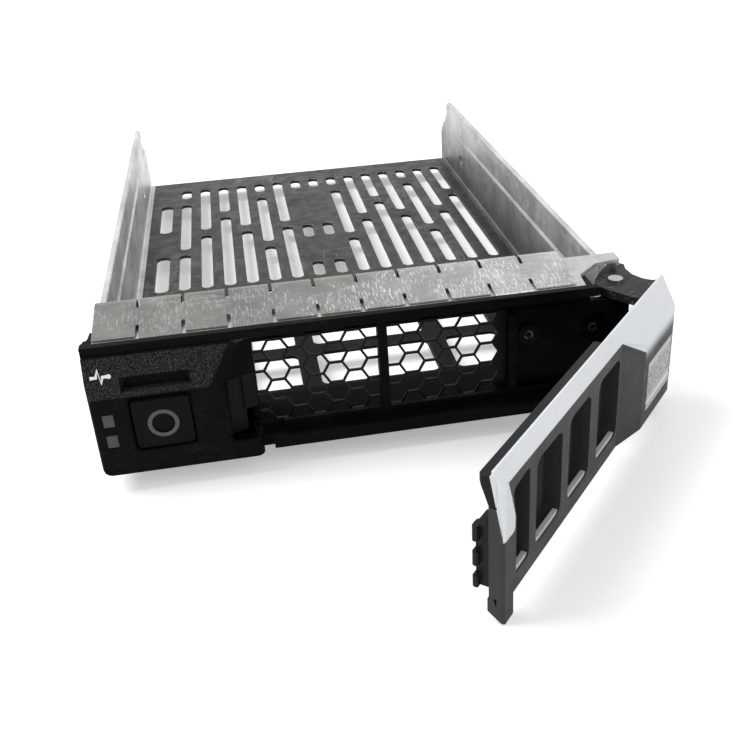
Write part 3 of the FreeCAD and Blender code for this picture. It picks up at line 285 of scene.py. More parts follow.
def new_group(name, inputs, outputs):
    """A node group with named sockets; returns it with its input and output nodes."""
    group = bpy.data.node_groups.new(name, "ShaderNodeTree")
    for socket, (kind, value) in inputs.items():
        made = group.interface.new_socket(name=socket, in_out="INPUT", socket_type=kind)
        if value is not None:
            made.default_value = value
    for socket, kind in outputs.items():
        group.interface.new_socket(name=socket, in_out="OUTPUT", socket_type=kind)
    return (group, group.nodes.new("NodeGroupInput").outputs,
            group.nodes.new("NodeGroupOutput").inputs)


def effect(tree, name, inputs):
    """Place a shared effect in a material with its own values."""
    if name not in bpy.data.node_groups:
        EFFECTS[name]()
    node = tree.nodes.new("ShaderNodeGroup")
    node.node_tree = bpy.data.node_groups[name]
    return fill(tree, node, inputs).outputs


def make_moulded_grain():
    """Spark-eroded grain: small pits and a softer swell."""
    group, given, out = new_group(
        "Moulded Grain",
        {"Vector": ("NodeSocketVector", None), "Spacing": ("NodeSocketFloat", 0.0003)},
        {"Height": "NodeSocketFloat", "Glint": "NodeSocketFloat"})
    scale = maths(group, "DIVIDE", 1.0, given["Spacing"])
    cells = add(group, "ShaderNodeTexVoronoi", {"Vector": given["Vector"], "Scale": scale},
                feature="SMOOTH_F1").outputs["Distance"]
    swell = noise(group, given["Vector"], maths(group, "MULTIPLY", scale, 0.6), 4.0, 0.6)
    height = maths(group, "ADD", maths(group, "MULTIPLY", cells, 0.6),
                   maths(group, "MULTIPLY", swell, 0.7))
    group.links.new(height, out["Height"])
    # the grain's peaks, used for painted glints
    group.links.new(spread(group, height, 0.52, 0.8), out["Glint"])


def make_uneven_tone():
    """A colour that drifts lighter and darker over the surface."""
    group, given, out = new_group(
        "Uneven Tone",
        {"Vector": ("NodeSocketVector", None), "Colour": ("NodeSocketColor", None),
         "Scale": ("NodeSocketFloat", 100.0), "Spread": ("NodeSocketFloat", 0.2)},
        {"Colour": "NodeSocketColor"})
    wide = noise(group, given["Vector"], given["Scale"], 5.0, 0.6)
    shift = maths(group, "MULTIPLY", maths(group, "SUBTRACT", wide, 0.5),
                  maths(group, "MULTIPLY", given["Spread"], 2.0))
    shade = maths(group, "ADD", shift, 1.0)
    scaled = add(group, "ShaderNodeVectorMath", {0: given["Colour"], "Scale": shade},
                 operation="SCALE").outputs[0]
    group.links.new(scaled, out["Colour"])


def make_scuffs():
    """Thin handling scratches in patches, running two ways."""
    group, given, out = new_group(
        "Scuffs",
        {"Vector": ("NodeSocketVector", None), "Scale": ("NodeSocketFloat", 100.0),
         "Amount": ("NodeSocketFloat", 0.5)},
        {"Mask": "NodeSocketFloat"})
    lines = None
    for turn, stretch in ((0.5, (0.12, 1.0, 1.0)), (-0.9, (1.0, 0.1, 0.6))):
        along = stretched(group, given["Vector"], stretch, (turn, turn * 0.4, turn))
        value = noise(group, along, given["Scale"], 6.0, 0.65)
        line = spread(group, away(group, value, 0.5), 0.0, 0.012, 1.0, 0.0)
        lines = line if lines is None else maths(group, "MAXIMUM", lines, line)
    wide = noise(group, given["Vector"], maths(group, "MULTIPLY", given["Scale"], 0.25))
    patch = spread(group, wide, 0.45, 0.62)
    mask = maths(group, "MULTIPLY", maths(group, "MULTIPLY", lines, patch), given["Amount"], True)
    group.links.new(mask, out["Mask"])


def make_rounded_edge():
    """Normals of a slightly rounded edge, and a mask of where the edge is."""
    group, given, out = new_group(
        "Rounded Edge", {"Radius": ("NodeSocketFloat", 0.0001)},
        {"Normal": "NodeSocketVector", "Edge": "NodeSocketFloat"})
    soft = add(group, "ShaderNodeBevel", {"Radius": given["Radius"]}, samples=4).outputs[0]
    true = group.nodes.new("ShaderNodeNewGeometry").outputs["Normal"]
    same = add(group, "ShaderNodeVectorMath", {0: soft, 1: true},
               operation="DOT_PRODUCT").outputs["Value"]
    group.links.new(soft, out["Normal"])
    group.links.new(spread(group, same, 0.97, 0.75), out["Edge"])


def make_zone():
    """A box-shaped mask with soft sides, between two corners in object coordinates."""
    group, given, out = new_group(
        "Zone",
        {"Vector": ("NodeSocketVector", None), "Low": ("NodeSocketVector", (0, 0, 0)),
         "High": ("NodeSocketVector", (1, 1, 1)), "Softness": ("NodeSocketFloat", 0.0001)},
        {"Mask": "NodeSocketFloat"})
    parts = [axes(group, given[name]) for name in ("Vector", "Low", "High")]
    mask = None
    for axis in range(3):
        place, low, high = (part[axis] for part in parts)
        for inside in (maths(group, "SUBTRACT", place, low), maths(group, "SUBTRACT", high, place)):
            side = maths(group, "DIVIDE", inside, given["Softness"], True)
            mask = side if mask is None else maths(group, "MULTIPLY", mask, side)
    group.links.new(mask, out["Mask"])


EFFECTS = {"Moulded Grain": make_moulded_grain, "Uneven Tone": make_uneven_tone,
           "Scuffs": make_scuffs, "Rounded Edge": make_rounded_edge, "Zone": make_zone}


# ---------------------------------------------------------------- materials

def new_material(name, roughness=0.5, metallic=0.0, specular=0.5):
    """A material with its shader's constant values set; returns it, its tree and its shader."""
    material = bpy.data.materials.new(name)
    material.use_nodes = True
    tree = material.node_tree
    shader = next(node for node in tree.nodes if node.type == "BSDF_PRINCIPLED")
    shader.inputs["Roughness"].default_value = roughness
    shader.inputs["Metallic"].default_value = metallic
    shader.inputs["Specular IOR Level"].default_value = specular
    return material, tree, shader


def object_place(tree):
    return tree.nodes.new("ShaderNodeTexCoord").outputs["Object"]


def lever_place(tree):
    """Coordinates that lie along the open lever: x to the hinge, y out of its rear, z up."""
    axis = Vector(HINGE["pos_m"][:2])
    return add(tree, "ShaderNodeMapping",
               {"Vector": object_place(tree), "Location": (axis.x, axis.y, 0),
                "Rotation": (0, 0, OPEN_ANGLE)}, vector_type="TEXTURE").outputs[0]


def zone(tree, vector, low, high, softness=0.1):
    """Mask of a box given in millimetres."""
    return effect(tree, "Zone", {
        "Vector": vector, "Low": [value * MM for value in low],
        "High": [value * MM for value in high], "Softness": softness * MM})["Mask"]


def bumped(tree, height, distance, strength, normal=None):
    inputs = {"Height": height, "Distance": distance, "Strength": strength}
    if normal is not None:
        inputs["Normal"] = normal
    return add(tree, "ShaderNodeBump", inputs).outputs[0]


def finish(tree, shader, colour=None, roughness=None, normal=None, metallic=None):
    """Link what changes over the surface to the shader."""
    for name, output in (("Base Color", colour), ("Roughness", roughness), ("Normal", normal),
                         ("Metallic", metallic)):
        if output is not None:
            tree.links.new(output, shader.inputs[name])


def cover(node, material):
    """Give a node of the frame its material."""
    slots = frame["nodes"][node].data.materials
    slots.clear()
    slots.append(material)


def zinc_sheet():
    """Zinc-plated sheet: bright rails, a base darkened by painted shade most behind the front, and
    rubs.
    """
    material, tree, shader = new_material("zinc_sheet", specular=0.1)
    place = object_place(tree)
    x, y, z = axes(tree, place)
    # painted shade: the base floor darkens in front of 84 mm and below 4 mm, and has fewer rubs
    # there
    floor_shade = both(tree, spread(tree, y, 84 * MM, 60 * MM), spread(tree, z, 4 * MM, 2 * MM))
    tone = blend_colours(tree, floor_shade, opaque(colours().shaded_base_zinc), FLOOR_SHADE_ZINC)
    # painted shade: the base's dark tone gives way to the rails' bright one from 1.5 to 8 mm up
    tone = blend_colours(tree, spread(tree, z, 1.5 * MM, 8 * MM), tone,
                         opaque(colours().rail_zinc))
    # painted shade: the right rail's wall is darker, most below 6 mm
    right_wall_shade = both(tree, spread(tree, x, 49 * MM, 50 * MM), spread(tree, z, 19 * MM, 6 * MM))
    tone = blend_colours(tree, both(tree, right_wall_shade, 0.8), tone, RIGHT_WALL_SHADE)
    # painted light: the left rail's wall is lighter, most below 5 mm
    left_wall_light = both(tree, zone(tree, place, (-51.55, 0, -1), (-49.5, 200, 30)),
                     spread(tree, z, 23 * MM, 5 * MM, 0.5, 1.0))
    tone = blend_colours(tree, both(tree, left_wall_light, 0.8), tone, LEFT_WALL_LIGHT)
    for scale, drift in ((60, 0.75), (900, 0.22)):
        tone = effect(tree, "Uneven Tone", {"Vector": place, "Colour": tone, "Scale": scale,
                                            "Spread": drift})["Colour"]
    scuffs = effect(tree, "Scuffs", {"Vector": place, "Scale": 160, "Amount": 0.22})["Mask"]
    scuffs = both(tree, scuffs, spread(tree, floor_shade, 0.0, 1.0, 1.0, 0.1))
    tone = blend_colours(tree, scuffs, tone, ZINC_RUB)
    edge = effect(tree, "Rounded Edge", {"Radius": 0.15 * MM})
    tone = blend_colours(tree, both(tree, edge["Edge"], 0.6), tone, ZINC_EDGE)
    # painted shade: the tray's front 21 to 23 mm between the rails, below 17 to 19 mm, is nearly
    # black
    between_rails = spread(tree, maths(tree, "ABSOLUTE", x), 50.2 * MM, 49.6 * MM)
    front_end_shade = both(tree, spread(tree, y, 23 * MM, 21 * MM),
                     both(tree, spread(tree, z, 19 * MM, 17 * MM), between_rails))
    tone = blend_colours(tree, front_end_shade, tone, FRONT_END_SHADE)
    # the painted-shade zones are also made matt and not metallic
    matt = maths(tree, "MAXIMUM", front_end_shade, floor_shade)
    rough = maths(tree, "MAXIMUM", spread(tree, noise(tree, place, 260), 0.3, 0.7, 0.34, 0.52),
                  both(tree, matt, 0.95))
    finish(tree, shader, tone, rough,
           bumped(tree, noise(tree, place, 1400), 0.02 * MM, 0.25, edge["Normal"]),
           spread(tree, matt, 0.0, 1.0, 0.85, 0.0))
    return material


def contact_steel():
    """Spring steel, brushed along the strip and rubbed across it where the bay's wall slides."""
    material, tree, shader = new_material("contact_steel", metallic=0.95)
    place = object_place(tree)
    x = axes(tree, place)["X"]
    # painted reflection: the strip lightens from left to right
    tone = blend_colours(tree, spread(tree, x, -30 * MM, 48 * MM),
                         opaque(colours().contact_steel), STEEL_REFLECTION)
    brushed = noise(tree, stretched(tree, place, (0.08, 1, 1)), 2600, 4.0, 0.7)
    tone = blend_colours(tree, spread(tree, brushed, 0.25, 0.75, 0.0, 0.5), tone, BRUSHED_LINE)
    tone = effect(tree, "Uneven Tone", {"Vector": place, "Colour": tone, "Scale": 140,
                                        "Spread": 0.45})["Colour"]
    scuffs = effect(tree, "Scuffs", {"Vector": place, "Scale": 230, "Amount": 0.35})["Mask"]
    strokes = noise(tree, stretched(tree, place, (1, 0.16, 0.16), (0, 0, 0.2)), 3400, 2.0, 0.6)
    patch = both(tree, spread(tree, noise(tree, place, 130), 0.38, 0.55),
                 spread(tree, x, -35 * MM, 15 * MM, 0.25, 0.95))
    rubs = both(tree, spread(tree, strokes, 0.52, 0.64), patch)
    bright = maths(tree, "MAXIMUM", scuffs, both(tree, rubs, 0.8))
    tone = blend_colours(tree, bright, tone, STEEL_RUB)
    edge = effect(tree, "Rounded Edge", {"Radius": 0.08 * MM})
    # painted highlight along the strip's edges
    tone = blend_colours(tree, both(tree, edge["Edge"], 0.7), tone, STEEL_EDGE_HIGHLIGHT)
    rough = spread(tree, brushed, 0.3, 0.7, 0.26, 0.44)
    finish(tree, shader, tone, rough, bumped(tree, brushed, 0.01 * MM, 0.3, edge["Normal"]))
    return material


def joint_line(tree, place, opening, reach):
    """The dark joint round a moving part in the front, reaching so many mm past its opening."""
    (left, foot), (right, top) = opening
    outer, inner = (zone(tree, place, (left - grow, -3, foot - grow),
                         (right + grow, 2, top + grow), 0.25) for grow in (reach, -0.3))
    return maths(tree, "SUBTRACT", outer, inner, True)


def black_moulding():
    """Black plastic: smooth satin faces, grained slope and ridge with painted glints, grey rubs on
    the edges.
    """
    material, tree, shader = new_material("black_moulding", specular=0.045)
    place = object_place(tree)
    x, _, z = axes(tree, place)
    # the grain ends on the right along a slanted line, and leaves out the scoop over the button
    slanted = maths(tree, "SUBTRACT", x, maths(tree, "MULTIPLY", z, 0.62))
    grained = both(tree, zone(tree, place, (-54, -1, 16.2), (-22.5, 4, 23.7), 0.35),
                   spread(tree, slanted, -41.0 * MM, -42.0 * MM))
    scoop = zone(tree, place, (-46.9, -0.5, 17.35), (-34.3, 1.8, 19.95), 0.08)
    grained = both(tree, grained, maths(tree, "SUBTRACT", 1.0, scoop))
    grain = effect(tree, "Moulded Grain", {"Vector": place, "Spacing": sizes().grain})
    fine = effect(tree, "Moulded Grain", {"Vector": place, "Spacing": 0.12 * MM})
    tone = effect(tree, "Uneven Tone", {
        "Vector": place, "Colour": opaque(colours().black_moulding), "Scale": 200,
        "Spread": 0.4})["Colour"]
    # painted glints on the peaks of the grain in the grained zone
    tone = blend_colours(tree, both(tree, grained, grain["Glint"]), tone, GRAIN_GLINT)
    edge = effect(tree, "Rounded Edge", {"Radius": sizes().edge_round})
    worn = both(tree, edge["Edge"], spread(tree, noise(tree, place, 700), 0.35, 0.6))
    tone = blend_colours(tree, both(tree, worn, 0.3), tone, WORN_BLACK)
    for opening, reach in ((BUTTON_OPENING, 0.75), (LATCH_OPENING, 0.5)):
        tone = blend_colours(tree, joint_line(tree, place, opening, reach), tone, JOINT_BLACK)
    # painted highlight on the rounded rim at the top of the slanted face
    rim_glint = both(tree, zone(tree, place, (-26.5, -1, 22.9), (-22.9, 4, 24.4), 0.4), edge["Edge"])
    tone = blend_colours(tree, rim_glint, tone, RIM_GLINT)
    dust = effect(tree, "Scuffs", {"Vector": place, "Scale": 300, "Amount": 0.06})["Mask"]
    tone = blend_colours(tree, dust, tone, DUST)
    rough = maths(tree, "ADD", blend_values(tree, grained, 0.42, 0.62),
                  spread(tree, noise(tree, place, 150), 0.3, 0.7, -0.05, 0.06))
    height = blend_values(tree, grained, both(tree, fine["Height"], 0.25), grain["Height"])
    finish(tree, shader, tone, rough, bumped(tree, height, 0.06 * MM, 1.0, edge["Normal"]))
    return material


def black_screen():
    """Black paint on perforated sheet, thin and greyer on the cut edges."""
    material, tree, shader = new_material("black_screen", specular=0.15)
    place = object_place(tree)
    edge = effect(tree, "Rounded Edge", {"Radius": 0.07 * MM})
    tone = effect(tree, "Uneven Tone", {"Vector": place, "Colour": opaque(colours().black_screen),
                                        "Scale": 500, "Spread": 0.4})["Colour"]
    tone = blend_colours(tree, both(tree, edge["Edge"], 0.35), tone, SCREEN_EDGE)
    rough = spread(tree, noise(tree, place, 400), 0.3, 0.7, 0.35, 0.5)
    height = noise(tree, place, 4000, 2.0)
    finish(tree, shader, tone, rough, bumped(tree, height, 0.01 * MM, 0.4, edge["Normal"]))
    return material


def satin_plastic(name, base, drift=0.3, low=0.4, high=0.52, specular=0.15, grain=0.14 * MM,
                  worn=0.3, light=PLASTIC_RUB_AND_GLINT, masks=()):
    """Moulded plastic; masks are pairs of a function of the tree and the colour it paints."""
    material, tree, shader = new_material(name, specular=specular)
    place = object_place(tree)
    tone = effect(tree, "Uneven Tone", {"Vector": place, "Colour": opaque(base), "Scale": 180,
                                        "Spread": drift})["Colour"]
    for mask, colour in masks:
        tone = blend_colours(tree, mask(tree), tone, colour)
    edge = effect(tree, "Rounded Edge", {"Radius": sizes().edge_round})
    rubbed = both(tree, edge["Edge"], spread(tree, noise(tree, place, 600), 0.3, 0.65))
    tone = blend_colours(tree, both(tree, rubbed, worn), tone, light)
    fine = effect(tree, "Moulded Grain", {"Vector": place, "Spacing": grain})
    rough = spread(tree, noise(tree, place, 220), 0.3, 0.7, low, high)
    finish(tree, shader, tone, rough,
           bumped(tree, fine["Height"], 0.02 * MM, 0.45, edge["Normal"]))
    return material


def painted_corner(tree):
    """Where the silver paint turns round the lever's free end: a wedge that narrows downwards."""
    a, b, z = axes(tree, lever_place(tree))
    narrowing = maths(tree, "MULTIPLY", maths(tree, "SUBTRACT", TRIM_LOW * MM, z), 0.2)
    depth = maths(tree, "ADD", b, narrowing)
    across = both(tree, spread(tree, depth, -7.9 * MM, -8.0 * MM),
                  spread(tree, a, -71.2 * MM, -71.4 * MM))
    return both(tree, across, spread(tree, z, 12.0 * MM, 12.4 * MM))


def ear_glints(tree):
    """Painted glints: thin glossy streaks along the lever's ears."""
    place = object_place(tree)
    streaks = noise(tree, stretched(tree, place, (0.25, 1, 1), (0, 0, -0.5)), 1700, 3.0, 0.6)
    top = both(tree, zone(tree, place, (40, -4, 0), (61, 25, 40), 2.0),
               spread(tree, noise(tree, place, 260), 0.45, 0.6))
    return both(tree, top, spread(tree, streaks, 0.54, 0.64))


def pocket_insides(tree):
    """The greyer insides of the lever's four openings."""
    return zone(tree, lever_place(tree), (-67, -11, 0.5), (-24, -6.4, 20), 0.4)


def painted_shoulder(tree):
    """Where the silver paint runs down over the pad's shoulder and thins out towards the label."""
    a, b, z = axes(tree, lever_place(tree))
    far, near = (value * MM for value in PAD_START)
    above = maths(tree, "ADD", z, maths(tree, "MULTIPLY", a, PAINT_FALL))
    slanted = both(tree, spread(tree, above, (PAINT_HEIGHT - 0.05) * MM,
                                (PAINT_HEIGHT + 0.05) * MM), spread(tree, a, near, far))
    outer = both(tree, spread(tree, a, far, near), spread(tree, b, -9.5 * MM, -10.5 * MM))
    thin = both(tree, outer, spread(tree, z, 15.0 * MM, 18.5 * MM))
    return maths(tree, "MAXIMUM", slanted, thin)


def silver_paint():
    """Silver paint with a faint metallic fleck."""
    material, tree, shader = new_material("silver_paint", metallic=0.25, specular=0.45)
    place = object_place(tree)
    tone = effect(tree, "Uneven Tone", {"Vector": place, "Colour": opaque(colours().silver_paint),
                                        "Scale": 120, "Spread": 0.06})["Colour"]
    fleck = add(tree, "ShaderNodeTexVoronoi", {"Vector": place, "Scale": 9000}).outputs["Color"]
    shine = add(tree, "ShaderNodeSeparateColor", {0: fleck}).outputs[0]
    tone = blend_colours(tree, spread(tree, shine, 0.7, 1.0, 0.0, 0.3), tone, PAINT_FLECK)
    scuffs = effect(tree, "Scuffs", {"Vector": place, "Scale": 200, "Amount": 0.18})["Mask"]
    tone = blend_colours(tree, scuffs, tone, PAINT_SCRATCH)
    edge = effect(tree, "Rounded Edge", {"Radius": 0.2 * MM})
    rough = spread(tree, noise(tree, place, 300), 0.3, 0.7, 0.3, 0.42)
    height = noise(tree, place, 3000, 2.0)
    finish(tree, shader, tone, rough, bumped(tree, height, 0.01 * MM, 0.2, edge["Normal"]))
    return material


def smoked_lens():
    """Smoked clear plastic of the light pipes."""
    material, tree, shader = new_material("smoked_lens", roughness=0.3, specular=0.25)
    shader.inputs["Coat Weight"].default_value = 0.2
    place = object_place(tree)
    tone = effect(tree, "Uneven Tone", {"Vector": place, "Colour": opaque(colours().lens_grey),
                                        "Scale": 700, "Spread": 0.5})["Colour"]
    ribs = add(tree, "ShaderNodeTexWave", {"Vector": place, "Scale": 900, "Distortion": 0.6},
               bands_direction="Z").outputs["Fac"]
    tone = blend_colours(tree, spread(tree, ribs, 0.4, 1.0, 0.0, 0.35), tone, LENS_RIB)
    finish(tree, shader, tone, None, bumped(tree, ribs, 0.03 * MM, 0.4))
    return material


def plain_metal(name, base, scale=500, low=0.25, high=0.42, drift=0.25):
    """Turned or drawn steel with fine lines and a little tarnish."""
    material, tree, shader = new_material(name, metallic=1.0)
    place = object_place(tree)
    tone = effect(tree, "Uneven Tone", {"Vector": place, "Colour": opaque(base), "Scale": scale,
                                        "Spread": drift})["Colour"]
    lines = noise(tree, stretched(tree, place, (1, 1, 0.1)), 6000, 3.0)
    rough = spread(tree, lines, 0.3, 0.7, low, high)
    finish(tree, shader, tone, rough, bumped(tree, lines, 0.01 * MM, 0.3))
    return material


def screw_steel():
    """Blackened screws with a painted glint: a bright ring round the recess."""
    material, tree, shader = new_material("screw_steel", metallic=0.9)
    place = object_place(tree)
    low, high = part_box("bezel_screws")
    head = (high.z - low.z) / 2
    x, _, z = axes(tree, place)
    across = maths(tree, "MINIMUM", away(tree, x, low.x + head), away(tree, x, high.x - head))
    up = maths(tree, "SUBTRACT", z, low.z + head)
    radius = maths(tree, "SQRT", maths(tree, "ADD", maths(tree, "MULTIPLY", across, across),
                                       maths(tree, "MULTIPLY", up, up)))
    # painted glint: a ring round the recess, lighter where the noise lets it show
    rim_glint = both(tree, spread(tree, radius, 0.5 * MM, 0.6 * MM),
               spread(tree, radius, 1.0 * MM, 0.85 * MM))
    worn = both(tree, rim_glint, spread(tree, noise(tree, place, 900), 0.4, 0.6))
    tone = effect(tree, "Uneven Tone", {"Vector": place, "Colour": SCREW_BLACK, "Scale": 700,
                                        "Spread": 0.3})["Colour"]
    tone = blend_colours(tree, worn, tone, SCREW_RIM_GLINT)
    rough = spread(tree, noise(tree, place, 700), 0.3, 0.7, 0.3, 0.45)
    finish(tree, shader, tone, rough, bumped(tree, rim_glint, 0.1 * MM, 0.5))
    return material


def label_film():
    """Silvery film with a printed block of small cells, rows of dashes and a white line."""
    material, tree, shader = new_material("label_film", specular=0.5)
    lever = lever_place(tree)
    z = axes(tree, lever)["Z"]
    tone = effect(tree, "Uneven Tone", {"Vector": lever, "Colour": LABEL_SILVER, "Scale": 300,
                                        "Spread": 0.12})["Colour"]
    cells = add(tree, "ShaderNodeTexBrick",
                {"Vector": stretched(tree, lever, (1, 1, 1), (math.pi / 2, 0, 0)),
                 "Color1": WHITE, "Color2": BLACK, "Mortar": (0.6, 0.6, 0.6, 1),
                 "Scale": 620, "Mortar Size": 0.03, "Bias": -0.25}).outputs["Color"]
    block = both(tree, spread(tree, z, 6.6 * MM, 6.8 * MM), spread(tree, z, 12.6 * MM, 12.4 * MM))
    inked = blend_colours(tree, 0.88, tone, cells, "MULTIPLY")
    tone = blend_colours(tree, block, tone, inked)
    dashes = both(tree, zone(tree, lever, (-12, -13, 13.8), (-5.5, -12, 16.2)),
                  spread(tree, noise(tree, stretched(tree, lever, (1, 1, 3)), 1500), 0.5, 0.56))
    tone = blend_colours(tree, both(tree, dashes, 0.8), tone, LABEL_DASH)
    line = both(tree, spread(tree, z, 4.9 * MM, 5.0 * MM), spread(tree, z, 5.6 * MM, 5.5 * MM))
    tone = blend_colours(tree, line, tone, LABEL_LINE)
    rough = spread(tree, noise(tree, lever, 500), 0.3, 0.7, 0.3, 0.45)
    finish(tree, shader, tone, rough, bumped(tree, noise(tree, lever, 900), 0.01 * MM, 0.2))
    return material


def ink(name, base):
    """Matt printing ink."""
    material, tree, shader = new_material(name, roughness=0.6)
    place = object_place(tree)
    tone = effect(tree, "Uneven Tone", {"Vector": place, "Colour": opaque(base), "Scale": 2500,
                                        "Spread": 0.12})["Colour"]
    finish(tree, shader, tone, None, bumped(tree, noise(tree, place, 5000), 0.01 * MM, 0.2))
    return material


# ---------------------------------------------------------------- mesh helpers

def new_piece(name, bm, material, body):
    """Turn a bmesh into a piece that rides on a body."""
    mesh = bpy.data.meshes.new(name)
    bm.to_mesh(mesh)
    bm.free()
    mesh.materials.append(material)
    piece = bpy.data.objects.new(name, mesh)
    bpy.context.scene.collection.objects.link(piece)
    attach(piece, body)
    return piece


def spin_ring(bm, inner, outer, low, high, steps=72):
    """A flat ring about the Z axis, made by turning its section."""
    corners = [bm.verts.new((radius, 0, level))
               for radius, level in ((inner, low), (outer, low), (outer, high), (inner, high))]
    section = bm.faces.new(corners)
    edges = list(section.edges)
    bmesh.ops.delete(bm, geom=[section], context="FACES_ONLY")
    bmesh.ops.spin(bm, geom=corners + edges, cent=(0, 0, 0), axis=(0, 0, 1),
                   angle=2 * math.pi, steps=steps, use_merge=True, use_duplicate=False)
    bmesh.ops.remove_doubles(bm, verts=bm.verts, dist=1e-7)
    bmesh.ops.recalc_face_normals(bm, faces=bm.faces)


def wind_coil(bm, radius, wire, length, turns, per_turn=30):
    """A round wire wound about the Z axis from level 0 to its length, with closed ends."""
    made = bmesh.ops.create_circle(bm, cap_ends=False, segments=12, radius=wire,
                                   matrix=Matrix.Translation((radius, 0, 0)) @
                                   Matrix.Rotation(math.pi / 2, 4, "X"))
    first = made["verts"]
    edges = list({edge for vert in first for edge in vert.link_edges})
    steps = round(turns * per_turn)
    turned = bmesh.ops.spin(bm, geom=first + edges, cent=(0, 0, 0), axis=(0, 0, 1),
                            dvec=(0, 0, length / steps), angle=2 * math.pi * turns, steps=steps,
                            use_merge=False, use_duplicate=False)
    last = [item for item in turned["geom_last"] if isinstance(item, bmesh.types.BMVert)]
    for end in (first, last):
        bmesh.ops.contextual_create(bm, geom=end)
    bmesh.ops.recalc_face_normals(bm, faces=bm.faces)
    for face in bm.faces:
        face.smooth = True


# ---------------------------------------------------------------- operators

class CADDY_OT_tray(bpy.types.Operator):
    """Zinc plate on the tray, the front bracket and its rivets"""
    bl_idname = "caddy.tray"
    bl_label = "Tray and Bracket"

    def execute(self, context):
        zinc = zinc_sheet()
        for node in ("tray", "front_bracket"):
            cover(node, zinc)
        cover("bracket_rivets", plain_metal("rivet_steel", RIVET_STEEL))
        return {"FINISHED"}


class CADDY_OT_contacts(bpy.types.Operator):
    """Brushed spring steel on the contact strip"""
    bl_idname = "caddy.contacts"
    bl_label = "Contact Strip"

    def execute(self, context):
        cover("emi_fingers", contact_steel())
        return {"FINISHED"}


class CADDY_OT_front(bpy.types.Operator):
    """Black plastic on the moulded front, its rear cover and the screen"""
    bl_idname = "caddy.front"
    bl_label = "Front"

    def execute(self, context):
        cover("bezel", black_moulding())
        cover("front_screen", black_screen())
        cover("latch_cover", satin_plastic("cover_plastic", colours().black_moulding))
        cover("bezel_screws", screw_steel())
        return {"FINISHED"}


class CADDY_OT_button(bpy.types.Operator):
    """Satin black button with its printed ring"""
    bl_idname = "caddy.button"
    bl_label = "Button"

    def execute(self, context):
        cover("release_button", satin_plastic("button_plastic", BUTTON_BLACK, worn=0.5,
                                              low=0.45, high=0.55, specular=0.07))
        size = sizes()
        low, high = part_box("release_button")
        centre = Vector(((low.x + high.x) / 2, low.y, RING_HEIGHT * MM))
        bm = bmesh.new()
        spin_ring(bm, size.ring_inner, size.ring_outer, -size.ink, size.ink)
        edges = [edge for edge in bm.edges if edge.calc_face_angle(0) > 1]
        bmesh.ops.bevel(bm, geom=edges, offset=size.ink * 0.5, segments=2, profile=0.5,
                        affect="EDGES", material=-1)
        bmesh.ops.transform(bm, verts=bm.verts, matrix=Matrix.Translation(centre) @
                            Matrix.Rotation(math.pi / 2, 4, "X"))
        new_piece("button_ring", bm, ink("ring_ink", RING_INK), "button")
        return {"FINISHED"}


class CADDY_OT_latch(bpy.types.Operator):
    """Grey-black plastic on the latch slider"""
    bl_idname = "caddy.latch"
    bl_label = "Latch"

    def execute(self, context):
        cover("latch_slider", satin_plastic("latch_plastic", LATCH_BLACK, low=0.45, high=0.56,
                                            specular=0.08))
        return {"FINISHED"}


class CADDY_OT_light_pipes(bpy.types.Operator):
    """Smoked lenses and the clips that hold the light pipes"""
    bl_idname = "caddy.light_pipes"
    bl_label = "Light Pipes"

    def execute(self, context):
        lens = smoked_lens()
        cover("light_pipe_upper", lens)
        cover("light_pipe_lower", lens)
        cover("pipe_clips", satin_plastic("clip_plastic", colours().black_moulding))
        return {"FINISHED"}


class CADDY_OT_lever(bpy.types.Operator):
    """Warm grey cover, black core, silver frame and label film of the lever"""
    bl_idname = "caddy.lever"
    bl_label = "Lever"

    def execute(self, context):
        colour = colours()
        paint = opaque(colour.silver_paint)
        cover("handle_grille", satin_plastic(
            "cover_grey", colour.lever_grey, drift=0.12, light=COVER_RUB, low=0.42, high=0.55,
            specular=0.25, masks=[(painted_corner, paint), (painted_shoulder, paint)]))
        cover("handle_lever", satin_plastic(
            "core_black", CORE_BLACK, worn=0.4, low=0.3, high=0.45, specular=0.17,
            masks=[(pocket_insides, POCKET_GREY), (ear_glints, PLASTIC_RUB_AND_GLINT),
                   (painted_corner, paint)]))
        silver = silver_paint()
        cover("handle_trim", silver)
        cover("handle_sill", silver)
        cover("handle_label", label_film())
        return {"FINISHED"}


class CADDY_OT_hinge(bpy.types.Operator):
    """Steel hinge pin and its clip"""
    bl_idname = "caddy.hinge"
    bl_label = "Hinge Pin"

    def execute(self, context):
        steel = plain_metal("pin_steel", PIN_STEEL, low=0.12, high=0.25)
        cover("hinge_pin", steel)
        cover("pin_clip", steel)
        return {"FINISHED"}


class CADDY_OT_springs(bpy.types.Operator):
    """Round-wire springs behind the button and beside the latch, and steel on the hinge's"""
    bl_idname = "caddy.springs"
    bl_label = "Springs"

    def execute(self, context):
        size = sizes()
        steel = plain_metal("spring_wire", colours().spring_steel, 900)
        # the coils are wound about Z, and turned to lie along Y and along X
        for node, axis, turn, wire, count in (
                ("button_spring", "Y", Matrix.Rotation(-math.pi / 2, 4, "X"),
                 size.button_wire, 5),
                ("latch_spring", "X", Matrix.Rotation(math.pi / 2, 4, "Y"),
                 size.latch_wire, 4)):
            low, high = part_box(node)
            index = "XYZ".index(axis)
            centre, span = (low + high) / 2, (high - low)[index]
            across = (high - low)[(index + 1) % 3] / 2
            start = centre.copy()
            start[index] = low[index] + wire
            bm = bmesh.new()
            wind_coil(bm, across - wire, wire, span - 2 * wire, count)
            bmesh.ops.transform(bm, verts=bm.verts, matrix=Matrix.Translation(start) @ turn)
            piece = new_piece(node + "_wire", bm, steel, "base")
            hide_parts(node)
            direction = Vector((0, 0, 0))
            direction[index] = 1
            if axis == "Y":
                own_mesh(piece)
            else:
                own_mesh(piece)
        cover("handle_spring", steel)
        return {"FINISHED"}


